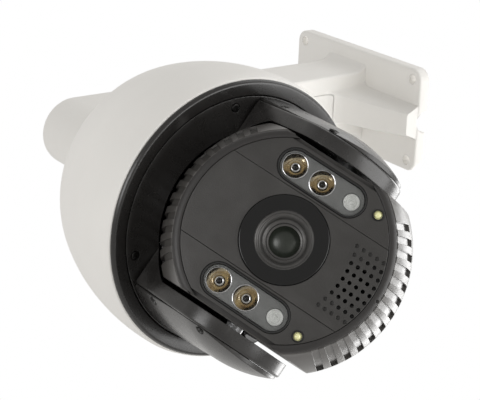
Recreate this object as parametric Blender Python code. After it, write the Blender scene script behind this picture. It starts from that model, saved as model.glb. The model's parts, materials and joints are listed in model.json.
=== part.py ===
"""A speed-dome security camera on its wall bracket, as an assembly of separate pieces.

Units are metres and +Z is up.  The origin is the middle of the wall plate's back face; the wall is on
the +Y side, the arm reaches along -Y and the dome hangs from the arm's end.

Three local frames place everything:
  dome frame  on the pan axis, with its origin in the plane of the dome's rim, +Z up;
  yoke frame  the dome frame turned to where the camera looks, X along the tilt axis, -Y forwards;
  lens frame  on the tilt axis at the ball's centre, X along the tilt axis, Y to the head's top and
              Z out along the lens.
"""

import math

import bmesh
import bpy
from mathutils import Matrix, Vector

# ---------------------------------------------------------------- driving dimensions
# Where the two turning axes are, and how they stand at rest.
PAN_AXIS_Y = -0.2930
RIM_Z = -0.2100
PAN_ANGLE = math.radians(40.3)
TILT_ANGLE = math.radians(42.2)
TILT_AXIS_DROP = 0.0618

# Bracket
PLATE_SIZE = (0.0970, 0.1825)
PLATE_THICK = 0.0100
PLATE_CORNER = 0.0110
WALL_HOLE_X = 0.0385
WALL_HOLE_Z = 0.0800
WALL_HOLE_R = 0.0045
NOTCH_R = 0.0105
NOTCH_HEIGHT = 0.0160
ARM_HALF = 0.0300
ARM_BOTTOM = -0.0145
ARM_TOP = 0.0434
DUCT_HALF = 0.0210
DUCT_BOTTOM = -0.0020
DUCT_TOP = 0.0370
ARM_ROOT = ((-0.0260, 0.0), (-0.0200, 0.0006), (-0.0135, 0.0030), (-0.0080, 0.0080))
GUSSET_FOOT = (-0.0226, -0.0905)
GUSSET_BLEND = (-0.0617, -0.0345)
GUSSET_BLEND_R = 0.0200
GUSSET_LEAN = 18
GUSSET_FRONT_HALF = (0.0110, 0.0140)
GUSSET_BACK_HALF = 0.0165
GUSSET_FLARE = 0.0040
GUSSET_BACK_Y = -0.0090
HATCH_Y = -0.0688
HATCH_SIZE = (0.0274, 0.0380)
HATCH_DEPTH = 0.0025
HATCH_LEDGE = 0.0030
NECK_R = 0.0240
NECK_BORE_R = 0.0160

# Cap, ring and turntable
RIM_R = 0.1070
CAP_MAX_R = 0.1102
CAP_MAX_R_Z = 0.0200
CAP_SIDE_RADIUS = 0.2000
CAP_SHOULDER_Z = 0.0900
CAP_SHOULDER_RADIUS = 0.0840
CAP_HOLE_R = 0.0225
CAP_WALL = 0.0030
TURNTABLE_R = 0.0949
RING_INNER_R = 0.0957
RECESS_R = 0.0905
RECESS_WALL = 0.0025
TABLE_SCREW = (0.0635, -0.0605)

# Yoke
ARM_INNER_U = 0.0684
ARM_BAND_U = 0.0793
ARM_RADIUS = 0.0490
ARM_ROUND = 0.85
ARM_EDGE = ((0.0735, 0.0), (0.0770, 0.0007), (0.0793, 0.0020))
ARM_WALL = 0.0032
YOKE_BALL_R = 0.0920
YOKE_TOP_R = 0.0943
SHAFT_R = 0.0070
BEARING_R = 0.0130

# Head
BALL_R = 0.0887
BALL_INNER_R = 0.0795
SIDE_FLAT_U = 0.0650
SEAM_L = 0.0408
LIP_L = 0.0450
LIP_R = 0.0732
FACE_L = 0.0487
FACE_R = 0.0703
SEAM_R = 0.0757
PANEL_SPLIT_U = 0.0326
PANEL_EDGE_U = 0.0612
LED_U = 0.0465
LED_TOP = 0.0218
LED_LOW = -0.0235
STROBE_U = 0.0487
STROBE_Y = -0.0433
WINDOW_R = 0.0306
FIN_PITCH = math.radians(6.8)
FINS_EACH_SIDE = 6
FIN_SLOT = 0.0050
FIN_DEPTH = 0.0028
FIN_FLOOR_LINE = ((0.0834, 0.0260), (0.0812, 0.0330), (0.0759, 0.0454))
FIN_CLEAR_R = 0.0970
FIN_BACK = (0.0015, 0.0022, 0.00022)

# Drive
PAN_PULLEY_R = 0.0300
PAN_PINION_R = 0.0080
PAN_MOTOR_X = -0.0560
TILT_PULLEY_R = 0.0200
TILT_PINION_R = 0.0060
TILT_MOTOR_Z = 0.0400

GAP = 0.0003

# ---------------------------------------------------------------- frames
DOME = Matrix.Translation((0, PAN_AXIS_Y, RIM_Z))
YOKE = DOME @ Matrix.Rotation(PAN_ANGLE, 4, "Z")
BALL = YOKE @ Matrix.Translation((0, 0, -TILT_AXIS_DROP))
HEAD = BALL @ Matrix.Rotation(TILT_ANGLE, 4, "X")
LENS = HEAD @ Matrix.Rotation(math.radians(90), 4, "X")
ALONG_X = Matrix.Rotation(math.radians(90), 4, "Y")
ALONG_Y = Matrix.Rotation(math.radians(-90), 4, "X")
SIDEWAYS = Matrix(((0, 0, 1, 0), (1, 0, 0, 0), (0, 1, 0, 0), (0, 0, 0, 1)))

MATERIALS = {
    "white_paint": ((0.80, 0.79, 0.76), 0.45, 0.0),
    "black_satin": ((0.022, 0.021, 0.021), 0.42, 0.0),
    "graphite_paint": ((0.085, 0.084, 0.082), 0.55, 0.0),
    "fin_paint": ((0.11, 0.105, 0.10), 0.50, 0.0),
    "panel_black": ((0.045, 0.045, 0.044), 0.5, 0.0),
    "rubber_seal": ((0.012, 0.012, 0.012), 0.75, 0.0),
    "clear_window": ((0.75, 0.80, 0.80), 0.05, 0.0),
    "dark_window": ((0.010, 0.010, 0.012), 0.04, 0.0),
    "lens_glass": ((0.05, 0.09, 0.08), 0.03, 0.0),
    "holder_grey": ((0.30, 0.32, 0.32), 0.40, 0.1),
    "gold_reflector": ((0.80, 0.62, 0.32), 0.15, 1.0),
    "led_white": ((0.85, 0.88, 0.84), 0.15, 0.0),
    "led_yellow": ((0.90, 0.82, 0.30), 0.20, 0.0),
    "lens_metal": ((0.03, 0.03, 0.03), 0.35, 0.6),
    "aluminium": ((0.62, 0.63, 0.65), 0.35, 1.0),
    "steel": ((0.55, 0.55, 0.56), 0.28, 1.0),
    "belt_rubber": ((0.02, 0.02, 0.02), 0.8, 0.0),
    "motor_steel": ((0.30, 0.30, 0.31), 0.35, 1.0),
    "circuit_green": ((0.02, 0.16, 0.07), 0.45, 0.0),
    "plastic_white": ((0.70, 0.70, 0.68), 0.5, 0.0),
    "screw_black": ((0.03, 0.03, 0.03), 0.35, 0.8),
}


def clear_scene():
    for thing in list(bpy.data.objects):
        bpy.data.objects.remove(thing)


def material(name):
    found = bpy.data.materials.get(name)
    if found:
        return found
    colour, roughness, metallic = MATERIALS[name]
    made = bpy.data.materials.new(name)
    made.use_nodes = True
    shader = made.node_tree.nodes["Principled BSDF"]
    shader.inputs["Base Color"].default_value = (*colour, 1.0)
    shader.inputs["Roughness"].default_value = roughness
    shader.inputs["Metallic"].default_value = metallic
    return made


# ---------------------------------------------------------------- shape helpers
def arc(centre, radius, start, end, count):
    """Points of an arc in a plane, angles in degrees, both ends included."""
    angles = [math.radians(start + (end - start) * i / (count - 1)) for i in range(count)]
    return [(centre[0] + radius * math.cos(a), centre[1] + radius * math.sin(a)) for a in angles]


def circle(radius, count, centre=(0, 0)):
    return arc(centre, radius, 0, 360 - 360 / count, count)


def rectangle(width, height, centre=(0, 0)):
    x, y = width / 2, height / 2
    return [(centre[0] + a, centre[1] + b) for a, b in ((x, -y), (x, y), (-x, y), (-x, -y))]


def rounded_rectangle(width, height, radius, steps=5):
    x, y = width / 2 - radius, height / 2 - radius
    corners = ((x, -y, -90), (x, y, 0), (-x, y, 90), (-x, -y, 180))
    return [p for cx, cy, start in corners for p in arc((cx, cy), radius, start, start + 90, steps)]


def led_slot(radius, x, steps=9):
    """The LED strips' outline: a slot with round ends along Y."""
    return arc((x, LED_TOP), radius, 0, 180, steps) + arc((x, LED_LOW + 0.002), radius, 180, 360, steps)


def arm_outline(radius, top, steps=13):
    """The yoke arm's side view: X forwards, Y up from the tilt axis, a flattened round below."""
    below = [(x, y * ARM_ROUND) for x, y in arc((0, 0), radius, -180, 0, steps)]
    return below + [(radius, top), (-radius, top)]


def belt_outline(r_low, r_high, distance, steps=20):
    """An open-belt loop round two pulleys: the lower at the origin and the upper at Y = distance."""
    lean = math.degrees(math.asin((r_low - r_high) / distance))
    upper = arc((0, distance), r_high, lean, 180 - lean, steps)
    lower = arc((0, 0), r_low, 180 - lean, 360 + lean, steps)
    return upper + lower


def outward(bm):
    """Turns a closed shape's faces to look out of it, also where its matrix is a mirror."""
    bmesh.ops.recalc_face_normals(bm, faces=bm.faces)
    if bm.calc_volume(signed=True) < 0:
        bmesh.ops.reverse_faces(bm, faces=bm.faces)
    return bm


def loft(rings, matrix=Matrix()):
    """A solid through closed rings of equal length, with flat ends."""
    bm = bmesh.new()
    loops = [[bm.verts.new(matrix @ Vector(p)) for p in ring] for ring in rings]
    count = len(loops[0])
    for low, high in zip(loops, loops[1:]):
        for i in range(count):
            j = (i + 1) % count
            bm.faces.new((low[i], low[j], high[j], high[i]))
    bm.faces.new(list(reversed(loops[0])))
    bm.faces.new(loops[-1])
    bmesh.ops.recalc_face_normals(bm, faces=bm.faces)
    return bm


def prism(outline, low, high, matrix=Matrix()):
    """A flat outline pulled from Z = low to Z = high."""
    return loft([[(x, y, z) for x, y in outline] for z in (low, high)], matrix)


def lathe(profile, segments=48, matrix=Matrix()):
    """A closed profile of (radius, height) points turned about Z. Points on the axis become one point."""
    bm = bmesh.new()
    rings = []
    for radius, height in profile:
        if radius < 1e-7:
            rings.append([bm.verts.new(matrix @ Vector((0, 0, height)))])
            continue
        turn = [2 * math.pi * i / segments for i in range(segments)]
        points = [Vector((radius * math.cos(a), radius * math.sin(a), height)) for a in turn]
        rings.append([bm.verts.new(matrix @ p) for p in points])
    for one, two in zip(rings, rings[1:] + rings[:1]):
        for i in range(segments):
            j = (i + 1) % segments
            corners = [one[i % len(one)], one[j % len(one)], two[j % len(two)], two[i % len(two)]]
            kept = list(dict.fromkeys(corners))
            if len(kept) > 2:
                bm.faces.new(kept)
    return outward(bm)


def rod(radius, low, high, segments=24, matrix=Matrix()):
    return prism(circle(radius, segments), low, high, matrix)


def merged(shapes):
    """Several shapes that don't meet, as one mesh, for a cutter."""
    whole = bmesh.new()
    for shape in shapes:
        passing = bpy.data.meshes.new("passing")
        shape.to_mesh(passing)
        whole.from_mesh(passing)
        bpy.data.meshes.remove(passing)
        shape.free()
    return whole


PARENTS = {}


def place(name, bm, colour, body="root"):
    """Makes the node: its mesh is in world space here, and its object hangs on its body's empty."""
    mesh = bpy.data.meshes.new(name)
    empty = PARENTS[body]
    bm.transform(empty.matrix_world.inverted())
    bm.to_mesh(mesh)
    bm.free()
    mesh.shade_smooth()
    mesh.set_sharp_from_angle(angle=math.radians(32))
    mesh.materials.append(material(colour))
    made = bpy.data.objects.new(name, mesh)
    bpy.context.scene.collection.objects.link(made)
    made.parent = empty
    return made


def shape_with(target, bm, operation):
    """Adds, cuts or keeps the overlap with another shape, held as a hidden helper object."""
    mesh = bpy.data.meshes.new(target.name + "_helper")
    bm.transform(target.parent.matrix_world.inverted())
    bm.to_mesh(mesh)
    bm.free()
    helper = bpy.data.objects.new(target.name + "_helper", mesh)
    bpy.context.scene.collection.objects.link(helper)
    helper.parent = target.parent
    helper.hide_render = True
    helper.display_type = "WIRE"
    modifier = target.modifiers.new(operation.lower(), "BOOLEAN")
    modifier.operation = operation
    modifier.solver = "EXACT"
    modifier.object = helper


def cut(target, *shapes):
    for shape in shapes:
        shape_with(target, shape, "DIFFERENCE")


def join(target, *shapes):
    for shape in shapes:
        shape_with(target, shape, "UNION")


def keep(target, *shapes):
    for shape in shapes:
        shape_with(target, shape, "INTERSECT")


def combined(first, second, operation):
    """The overlap or the difference of two solids, worked out at once, for use in another shape."""
    made = []
    for index, shape in enumerate((first, second)):
        mesh = bpy.data.meshes.new("overlap_%d" % index)
        shape.to_mesh(mesh)
        shape.free()
        made.append(bpy.data.objects.new("overlap_%d" % index, mesh))
        bpy.context.scene.collection.objects.link(made[-1])
    modifier = made[0].modifiers.new("both", "BOOLEAN")
    modifier.operation = operation
    modifier.solver = "EXACT"
    modifier.object = made[1]
    bpy.context.view_layer.update()
    shared = bmesh.new()
    shared.from_object(made[0], bpy.context.evaluated_depsgraph_get())
    for thing in made:
        bpy.data.objects.remove(thing)
    return shared


def weld_slivers():
    """Closes the hair-thin slivers that a Boolean can leave where two of its edges nearly meet."""
    for node in list(bpy.data.objects):
        if node.modifiers:
            last = node.modifiers.new("weld", "WELD")
            last.merge_threshold = 0.00002


def make_parents():
    """One empty for each rigid body, standing on the axis that the body turns or slides on."""
    frames = {
        "root": Matrix(),
        "pan": YOKE,
        "pan_motor_pulley": DOME @ Matrix.Translation((PAN_MOTOR_X, 0, 0)),
        "tilt": LENS,
        "tilt_motor_pulley": YOKE @ Matrix.Translation((0, 0, TILT_MOTOR_Z)),
        "zoom": LENS,
        "focus": LENS,
        "filter": LENS,
    }
    for name, matrix in frames.items():
        empty = bpy.data.objects.new("body_" + name, None)
        bpy.context.scene.collection.objects.link(empty)
        empty.matrix_world = matrix
        PARENTS[name] = empty
    bpy.context.view_layer.update()


# ---------------------------------------------------------------- bracket
def arm_plan(inset):
    """The arm seen from above: a root that flares at the plate and a half-round end on the pan axis."""
    half = ARM_HALF - inset
    end = arc((0, PAN_AXIS_Y), half, 180, 360, 17)
    root = [(half + flare, y) for y, flare in ARM_ROOT]
    return end + root + [(-x, y) for x, y in reversed(root)]


def arm_shape():
    levels = [(ARM_BOTTOM, 0.0015), (ARM_BOTTOM + 0.0015, 0.0), (ARM_TOP - 0.006, 0.0)]
    levels += [(ARM_TOP - 0.0018, 0.0018), (ARM_TOP, 0.006)]
    return loft([[(x, y, z) for x, y in arm_plan(inset)] for z, inset in levels])


def gusset_shape():
    """The rib under the arm: narrower at its front, and blending into the arm's underside."""
    low, high = GUSSET_FRONT_HALF
    levels = [(*GUSSET_FOOT, low, GUSSET_BACK_HALF)]
    for angle in range(GUSSET_LEAN, 91, 12):
        y = GUSSET_BLEND[0] + GUSSET_BLEND_R * math.cos(math.radians(angle))
        z = GUSSET_BLEND[1] + GUSSET_BLEND_R * math.sin(math.radians(angle))
        flare = GUSSET_FLARE * ((angle - GUSSET_LEAN) / (90 - GUSSET_LEAN)) ** 2
        levels.append((y, z, high + flare, GUSSET_BACK_HALF + flare))
    levels.append((levels[-1][0], ARM_BOTTOM + 0.0020, levels[-1][2], levels[-1][3]))
    rings = []
    for y, z, front, back in levels:
        rings.append([(-back, GUSSET_BACK_Y, z), (-front, y, z), (front, y, z), (back, GUSSET_BACK_Y, z)])
    return loft(rings)


def plate_outline(inset):
    w, h = PLATE_SIZE
    return rounded_rectangle(w - 2 * inset, h - 2 * inset, PLATE_CORNER - inset)


def wall_bracket():
    steps = [(0.0, 0.0), (0.0085, 0.0), (PLATE_THICK, 0.0015)]
    rings = [[(x, -depth, z) for x, z in plate_outline(inset)] for depth, inset in steps]
    bracket = place("wall_bracket", loft(rings), "white_paint")
    join(bracket, arm_shape())
    join(bracket, gusset_shape())
    duct_end = PAN_AXIS_Y - 0.019
    duct = prism(rounded_rectangle(2 * DUCT_HALF, DUCT_TOP - DUCT_BOTTOM, 0.006, 4), 0, 0.001 - duct_end,
                 Matrix.Translation((0, duct_end, (DUCT_TOP + DUCT_BOTTOM) / 2)) @ ALONG_Y)
    cut(bracket, duct)
    cut(bracket, rod(NECK_R + 2 * GAP, -0.02, 0.01, 32, Matrix.Translation((0, PAN_AXIS_Y, 0))))
    holes = []
    for x in (-WALL_HOLE_X, WALL_HOLE_X):
        for z in (-WALL_HOLE_Z, WALL_HOLE_Z):
            across = Matrix.Translation((x, 0, z)) @ ALONG_Y
            holes.append(rod(WALL_HOLE_R, -0.02, 0.01, 20, across))
    cut(bracket, merged(holes))
    cut(bracket, rod(NOTCH_R, -0.01, NOTCH_HEIGHT, 28, Matrix.Translation((0, 0, -PLATE_SIZE[1] / 2))))
    cut(bracket, hatch_prism(0, ARM_BOTTOM + HATCH_DEPTH))
    cut(bracket, hatch_prism(HATCH_LEDGE, DUCT_BOTTOM + 0.006))


def hatch_prism(inset, top):
    """The cable hatch's outline, from below the blend of the gusset up to a height."""
    w, h = HATCH_SIZE
    outline = rounded_rectangle(w - 2 * inset, h - 2 * inset, 0.0020, 3)
    return prism(outline, GUSSET_BLEND[1], top, Matrix.Translation((0, HATCH_Y, 0)))


def access_cover():
    """The hatch's lid, flush with the arm's underside and with the blend below it."""
    lid = place("access_cover", hatch_prism(GAP, ARM_BOTTOM + HATCH_DEPTH - GAP), "white_paint")
    keep(lid, combined(arm_shape(), gusset_shape(), "UNION"))


def top_neck():
    """The cable neck: a flange on the cap, a collar under the arm and a thread inside the hub."""
    low = cap_height(CAP_HOLE_R) + GAP
    collar = ARM_BOTTOM - RIM_Z - GAP
    profile = [(0.0215, low - 0.012), (0.0215, low), (0.034, low), (0.034, low + 0.006)]
    profile += [(0.029, low + 0.014), (0.0275, collar - 0.010), (0.031, collar - 0.007), (0.031, collar)]
    profile += [(NECK_R, collar), (NECK_R, collar + 0.012), (NECK_BORE_R, collar + 0.012)]
    profile += [(NECK_BORE_R, low - 0.012)]
    place("top_neck", lathe(profile, 28, DOME), "white_paint")


# ---------------------------------------------------------------- cap and ring
def side_radius(z):
    """Radius of the cap's side, a long arc bulging at CAP_MAX_R_Z."""
    return CAP_MAX_R - CAP_SIDE_RADIUS + math.sqrt(CAP_SIDE_RADIUS**2 - (z - CAP_MAX_R_Z) ** 2)


def shoulder_centre():
    lean = math.asin((CAP_SHOULDER_Z - CAP_MAX_R_Z) / CAP_SIDE_RADIUS)
    r = side_radius(CAP_SHOULDER_Z) - CAP_SHOULDER_RADIUS * math.cos(lean)
    return r, CAP_SHOULDER_Z - CAP_SHOULDER_RADIUS * math.sin(lean), math.degrees(lean)


def cap_height(radius):
    """Height of the cap's outer surface on its shoulder at a radius."""
    r, z, _ = shoulder_centre()
    return z + math.sqrt(CAP_SHOULDER_RADIUS**2 - (radius - r) ** 2)


def cap_outer():
    side = [(RIM_R + 0.0004, 0.0), (RIM_R + 0.0014, 0.0015)]
    side += [(side_radius(z), z) for z in (0.006, 0.020, 0.042, 0.066)]
    r, z, lean = shoulder_centre()
    top = math.degrees(math.acos((CAP_HOLE_R - r) / CAP_SHOULDER_RADIUS))
    return side + arc((r, z), CAP_SHOULDER_RADIUS, lean, top, 6)


def cap_shell():
    inner = []
    for (ra, za), (rb, zb) in zip(cap_outer()[2:], cap_outer()[3:]):
        slope = Vector((zb - za, ra - rb)).normalized() * CAP_WALL
        inner.append((ra - slope.x, za - slope.y))
    inner = inner + [(CAP_HOLE_R, cap_outer()[-1][1] - CAP_WALL)]
    profile = cap_outer() + list(reversed(inner)) + [(RIM_R - 0.0015, 0.0)]
    place("cap_shell", lathe(profile, 48, DOME), "white_paint")


def rim_ring():
    """The black ring that closes the cap's lower edge round the turntable."""
    profile = [(RIM_R, -0.0022), (RIM_R, -GAP), (RIM_R - 0.0022, -GAP), (RIM_R - 0.0022, 0.0060)]
    profile += [(RIM_R - 0.0045, 0.0060), (RIM_R - 0.0045, 0.0018), (RING_INNER_R, 0.0018)]
    profile += [(RING_INNER_R, -0.0020), (RIM_R - 0.004, -0.0034)]
    place("rim_ring", lathe(profile, 48, DOME), "black_satin")


# ---------------------------------------------------------------- fixed works in the cap
CHASSIS_Z = 0.0690
CHASSIS_THICK = 0.0035
BOARD_Z = 0.1120
BOARD_THICK = 0.0016
MOTOR_PILOT_R = 0.0090
PAN_PULLEY_LOW = 0.0555
PAN_PULLEY_HIGH = 0.0655
SPINDLE_TOP = 0.1060


def chassis_plate():
    top = CHASSIS_Z + CHASSIS_THICK
    edge = side_radius(CHASSIS_Z) - CAP_WALL - 0.0022
    profile = [(edge, CHASSIS_Z), (edge, top), (0.026, top), (0.026, CHASSIS_Z + 0.008)]
    profile += [(0.0220, CHASSIS_Z + 0.008), (0.0220, CHASSIS_Z)]
    plate = place("chassis_plate", lathe(profile, 32, DOME), "aluminium")
    for angle in (0, 120, 240):
        at = DOME @ Matrix.Rotation(math.radians(angle), 4, "Z") @ Matrix.Translation((0.052, 0, 0))
        join(plate, rod(0.0035, top - 0.001, BOARD_Z - GAP, 12, at))
    pilot = DOME @ Matrix.Translation((PAN_MOTOR_X, 0, 0))
    cut(plate, rod(MOTOR_PILOT_R + 0.0015, CHASSIS_Z - 0.001, top + 0.001, 20, pilot))


def main_board():
    top = BOARD_Z + BOARD_THICK
    board = place("main_board", prism(circle(0.062, 40), BOARD_Z, top, DOME), "circuit_green")
    cut(board, rod(0.026, 0.11, 0.12, 24, DOME))
    for x, y, w, h, tall in ((0.044, 0.010, 0.018, 0.018, 0.003), (-0.040, -0.012, 0.022, 0.014, 0.009),
                             (-0.004, 0.043, 0.030, 0.012, 0.010), (0.006, -0.045, 0.014, 0.014, 0.002)):
        join(board, prism(rectangle(w, h, (x, y)), top - 0.0004, top + tall, DOME))


def pan_bearing():
    low, high = CHASSIS_Z - 0.001, CHASSIS_Z + 0.007
    profile = [(0.0217, low), (0.0217, high), (0.0180, high), (0.0175, high - 0.0012)]
    profile += [(0.0165, high - 0.0012), (0.0160, high), (0.0124, high), (0.0124, low)]
    profile += [(0.0160, low), (0.0165, low + 0.0012)]
    profile += [(0.0175, low + 0.0012), (0.0180, low)]
    place("pan_bearing", lathe(profile, 16, DOME), "steel")


def motor_shape(half, corner, low, high, matrix):
    """A stepper motor's square body with rounded corners."""
    return outward(prism(rounded_rectangle(2 * half, 2 * half, corner, 3), low, high, matrix))


def pan_motor():
    at = DOME @ Matrix.Translation((PAN_MOTOR_X, 0, 0))
    low = CHASSIS_Z + CHASSIS_THICK + GAP
    motor = place("pan_motor", motor_shape(0.0175, 0.004, low, low + 0.027, at), "motor_steel")
    join(motor, rod(MOTOR_PILOT_R, CHASSIS_Z - 0.0005, low + 0.001, 20, at))
    join(motor, rod(0.0025, PAN_PULLEY_LOW + 0.0005, CHASSIS_Z + 0.001, 12, at))


def pulley_profile(radius, bore, low, high):
    """A belt pulley with two flanges. Its belt runs on the radius."""
    lip = radius + 0.0022
    return [(bore, low), (lip, low), (lip, low + 0.0008), (radius, low + 0.0012), (radius, high - 0.0012),
            (lip, high - 0.0008), (lip, high), (bore, high)]


def pan_motor_pulley():
    at = DOME @ Matrix.Translation((PAN_MOTOR_X, 0, 0))
    shape = lathe(pulley_profile(PAN_PINION_R, 0.0028, PAN_PULLEY_LOW, PAN_PULLEY_HIGH), 16, at)
    place("pan_motor_pulley", shape, "aluminium", "pan_motor_pulley")


def belt_shape(r_low, r_high, distance, low, high, matrix):
    clear, thick = 0.0005, 0.0014
    outer = belt_outline(r_low + clear + thick, r_high + clear + thick, distance)
    inner = belt_outline(r_low + clear, r_high + clear, distance)
    bm = bmesh.new()
    rings = [[bm.verts.new(matrix @ Vector((x, y, z))) for x, y in line]
             for line, z in ((outer, low), (outer, high), (inner, high), (inner, low))]
    for one, two in zip(rings, rings[1:] + rings[:1]):
        for i in range(len(one)):
            j = (i + 1) % len(one)
            bm.faces.new((one[i], one[j], two[j], two[i]))
    return outward(bm)


def pan_belt():
    turned = DOME @ Matrix.Rotation(math.radians(90), 4, "Z")
    low, high = PAN_PULLEY_LOW + 0.0020, PAN_PULLEY_HIGH - 0.0020
    shape = belt_shape(PAN_PULLEY_R, PAN_PINION_R, -PAN_MOTOR_X, low, high, turned)
    place("pan_belt", shape, "belt_rubber")


def slip_ring_stator():
    low = CHASSIS_Z + 0.0083
    profile = [(0.0240, low), (0.0240, low + 0.003), (0.0140, low + 0.003), (0.0140, low + 0.024)]
    profile += [(0.0095, low + 0.024), (0.0095, low + 0.003), (0.0130, low)]
    place("slip_ring_stator", lathe(profile, 20, DOME), "plastic_white")


# ---------------------------------------------------------------- turning works
def turntable():
    """The black table with the round recess that the ball turns in, and the slot for the tilt belt."""
    edge = -0.0034
    drop = TILT_AXIS_DROP + edge
    recess_edge = math.degrees(math.asin(drop / RECESS_R))
    inside = [(r, z - TILT_AXIS_DROP) for r, z in arc((0, 0), RECESS_R, recess_edge, 90, 7)]
    outside = [(r, z - TILT_AXIS_DROP) for r, z in arc((0, 0), RECESS_R + RECESS_WALL, 90, 44.5, 6)]
    profile = [(TURNTABLE_R, -0.0018)] + inside[:-1] + [(0, inside[-1][1]), (0, outside[0][1])]
    profile += outside[1:] + [(TURNTABLE_R, outside[-1][1])]
    table = place("turntable", lathe(profile, 48, YOKE), "black_satin", "pan")
    seat = prism(rectangle(0.0180, 0.0200, (-0.0550, 0)), 0.0, TILT_MOTOR_Z - 0.0140 - GAP, YOKE)
    room = lathe(ball_profile(RECESS_R + 0.0012, 0.08), 40, BALL)
    join(table, combined(seat, room, "DIFFERENCE"))
    cut(table, prism(rectangle(0.0100, 0.0400, (-0.0785, 0)), -0.02, 0.02, YOKE))
    holes = [rod(0.0036, -0.01, 0.0008, 16, table_screw_frame(side)) for side in (-1, 1)]
    cut(table, merged(holes))


def table_screw_frame(side):
    return YOKE @ Matrix.Translation((side * TABLE_SCREW[0], TABLE_SCREW[1], 0))


def turntable_screws():
    for side, name in ((1, "turntable_screw_right"), (-1, "turntable_screw_left")):
        at = table_screw_frame(side)
        screw = place(name, rod(0.0030, -0.0018, 0.0002, 12, at), "screw_black", "pan")
        cut(screw, prism(circle(0.0015, 6), -0.003, -0.0006, at))


def pan_spindle():
    """The spindle under the pan pulley. Its upper end is the turning half of the slip ring."""
    base = RECESS_R + RECESS_WALL - TILT_AXIS_DROP + GAP
    profile = [(0.0060, base), (0.0180, base), (0.0180, base + 0.004), (0.0120, base + 0.006)]
    profile += [(0.0120, CHASSIS_Z + 0.0080), (0.0085, CHASSIS_Z + 0.0085)]
    profile += [(0.0085, SPINDLE_TOP), (0.0060, SPINDLE_TOP)]
    place("pan_spindle", lathe(profile, 20, YOKE), "steel", "pan")


def pan_pulley():
    shape = lathe(pulley_profile(PAN_PULLEY_R, 0.0124, PAN_PULLEY_LOW, PAN_PULLEY_HIGH), 28, YOKE)
    place("pan_pulley", shape, "aluminium", "pan")


def arm_frame(side):
    """Maps an arm's side view (X forwards, Y up) to the yoke, with Z outwards along the tilt axis."""
    columns = Matrix(((0, 0, side, 0), (-1, 0, 0, 0), (0, 1, 0, 0), (0, 0, 0, 1)))
    return BALL @ columns


ARM_TOP_Y = TILT_AXIS_DROP - 0.0037
SCREW_SPOTS = ((0.0392, -0.0165), (0.0432, 0.0365))


def solid_prism(outline, low, high, matrix):
    return outward(prism(outline, low, high, matrix))


def recess_core(matrix):
    """The ball's room on one side of the yoke, as far out as the arm's inner face."""
    edge = math.degrees(math.asin(ARM_INNER_U / RECESS_R))
    profile = [(0, -0.01), (RECESS_R, -0.01)] + arc((0, 0), RECESS_R, 0, edge, 6) + [(0, ARM_INNER_U)]
    return lathe(profile, 48, matrix @ Matrix.Rotation(math.radians(2.3), 4, "Z"))


def yoke_arm(side, name):
    """A tray that holds the bearing and the belt, open outwards, with a root that hugs the ball."""
    at = arm_frame(side)
    levels = ((0.050, 0.0),) + ARM_EDGE
    rings = [[(x, y, z) for x, y in arm_outline(ARM_RADIUS - inset, ARM_TOP_Y)] for z, inset in levels]
    arm = place(name, outward(loft(rings, at)), "black_satin", "pan")
    cut(arm, recess_core(at))
    inside = arm_outline(ARM_RADIUS - ARM_WALL, ARM_TOP_Y - ARM_WALL)
    cut(arm, solid_prism(inside, ARM_INNER_U + ARM_WALL, ARM_BAND_U + 0.01, at))
    join(arm, rod(BEARING_R + 0.003, ARM_INNER_U + 0.001, ARM_INNER_U + 0.0050, 24, at))
    for x, y in SCREW_SPOTS:
        for sign in (-1, 1):
            spot = at @ Matrix.Translation((sign * x, y, 0))
            join(arm, rod(0.0042, ARM_INNER_U + 0.001, ARM_BAND_U - 0.0002, 12, spot))
    cut(arm, rod(BEARING_R + GAP, ARM_INNER_U - 0.001, ARM_INNER_U + 0.01, 32, at))
    drilled = [rod(0.0018, ARM_BAND_U - 0.006, ARM_BAND_U + 0.01, 10, at @ Matrix.Translation((x, y, 0)))
               for x, y in SCREW_SPOTS]
    cut(arm, merged(drilled))
    if side < 0:
        cut(arm, belt_mouth(0.0735, ARM_BAND_U + 0.01))


def belt_mouth(low, high):
    """The gap at the top of the left arm that the tilt belt passes through."""
    return solid_prism(rectangle(0.0400, 0.0140, (0, ARM_TOP_Y)), low, high, arm_frame(-1))


def yoke_skin(offset):
    """The ball that the arm covers follow, widening to the turntable's edge above the tilt axis."""
    radius = YOKE_BALL_R - offset
    low = [(0, -radius)] + arc((0, 0), radius, -80, 0, 9)
    return low + [(YOKE_TOP_R - 0.0008 - offset, 0.03), (YOKE_TOP_R - offset, 0.08), (0, 0.08)]


def arm_cover(side, name):
    at = arm_frame(side)
    low = ARM_BAND_U + GAP
    outline = arm_outline(ARM_RADIUS - ARM_EDGE[-1][1], ARM_TOP_Y)
    cover = place(name, solid_prism(outline, low, 0.099, at), "black_satin", "pan")
    keep(cover, lathe(yoke_skin(0), 48, BALL))
    inside = arm_outline(ARM_RADIUS - ARM_EDGE[-1][1] - ARM_WALL, ARM_TOP_Y - ARM_WALL)
    hollow = solid_prism(inside, low - 0.01, 0.096, at)
    helper = lathe(yoke_skin(0.0026), 48, BALL)
    cut(cover, combined(hollow, helper, "INTERSECT"))
    holes = []
    for x, y in SCREW_SPOTS:
        holes.append(rod(0.0033, low + 0.0008, 0.10, 12, at @ Matrix.Translation((x, y, 0))))
    cut(cover, merged(holes))
    if side < 0:
        cut(cover, belt_mouth(low - 0.01, 0.0840))


def arm_screws():
    for side, word in ((1, "right"), (-1, "left")):
        for (x, y), place_word in zip(SCREW_SPOTS, ("lower", "upper")):
            at = arm_frame(side) @ Matrix.Translation((x, y, 0))
            low = ARM_BAND_U + GAP + 0.0008 + GAP
            head = [(0, low), (0.0029, low), (0.0029, low + 0.0008), (0.0022, low + 0.0013)]
            head += [(0.0010, low + 0.0013), (0.0010, low + 0.0006), (0, low + 0.0006)]
            place("arm_screw_%s_%s" % (word, place_word), lathe(head, 12, at), "screw_black", "pan")


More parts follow.
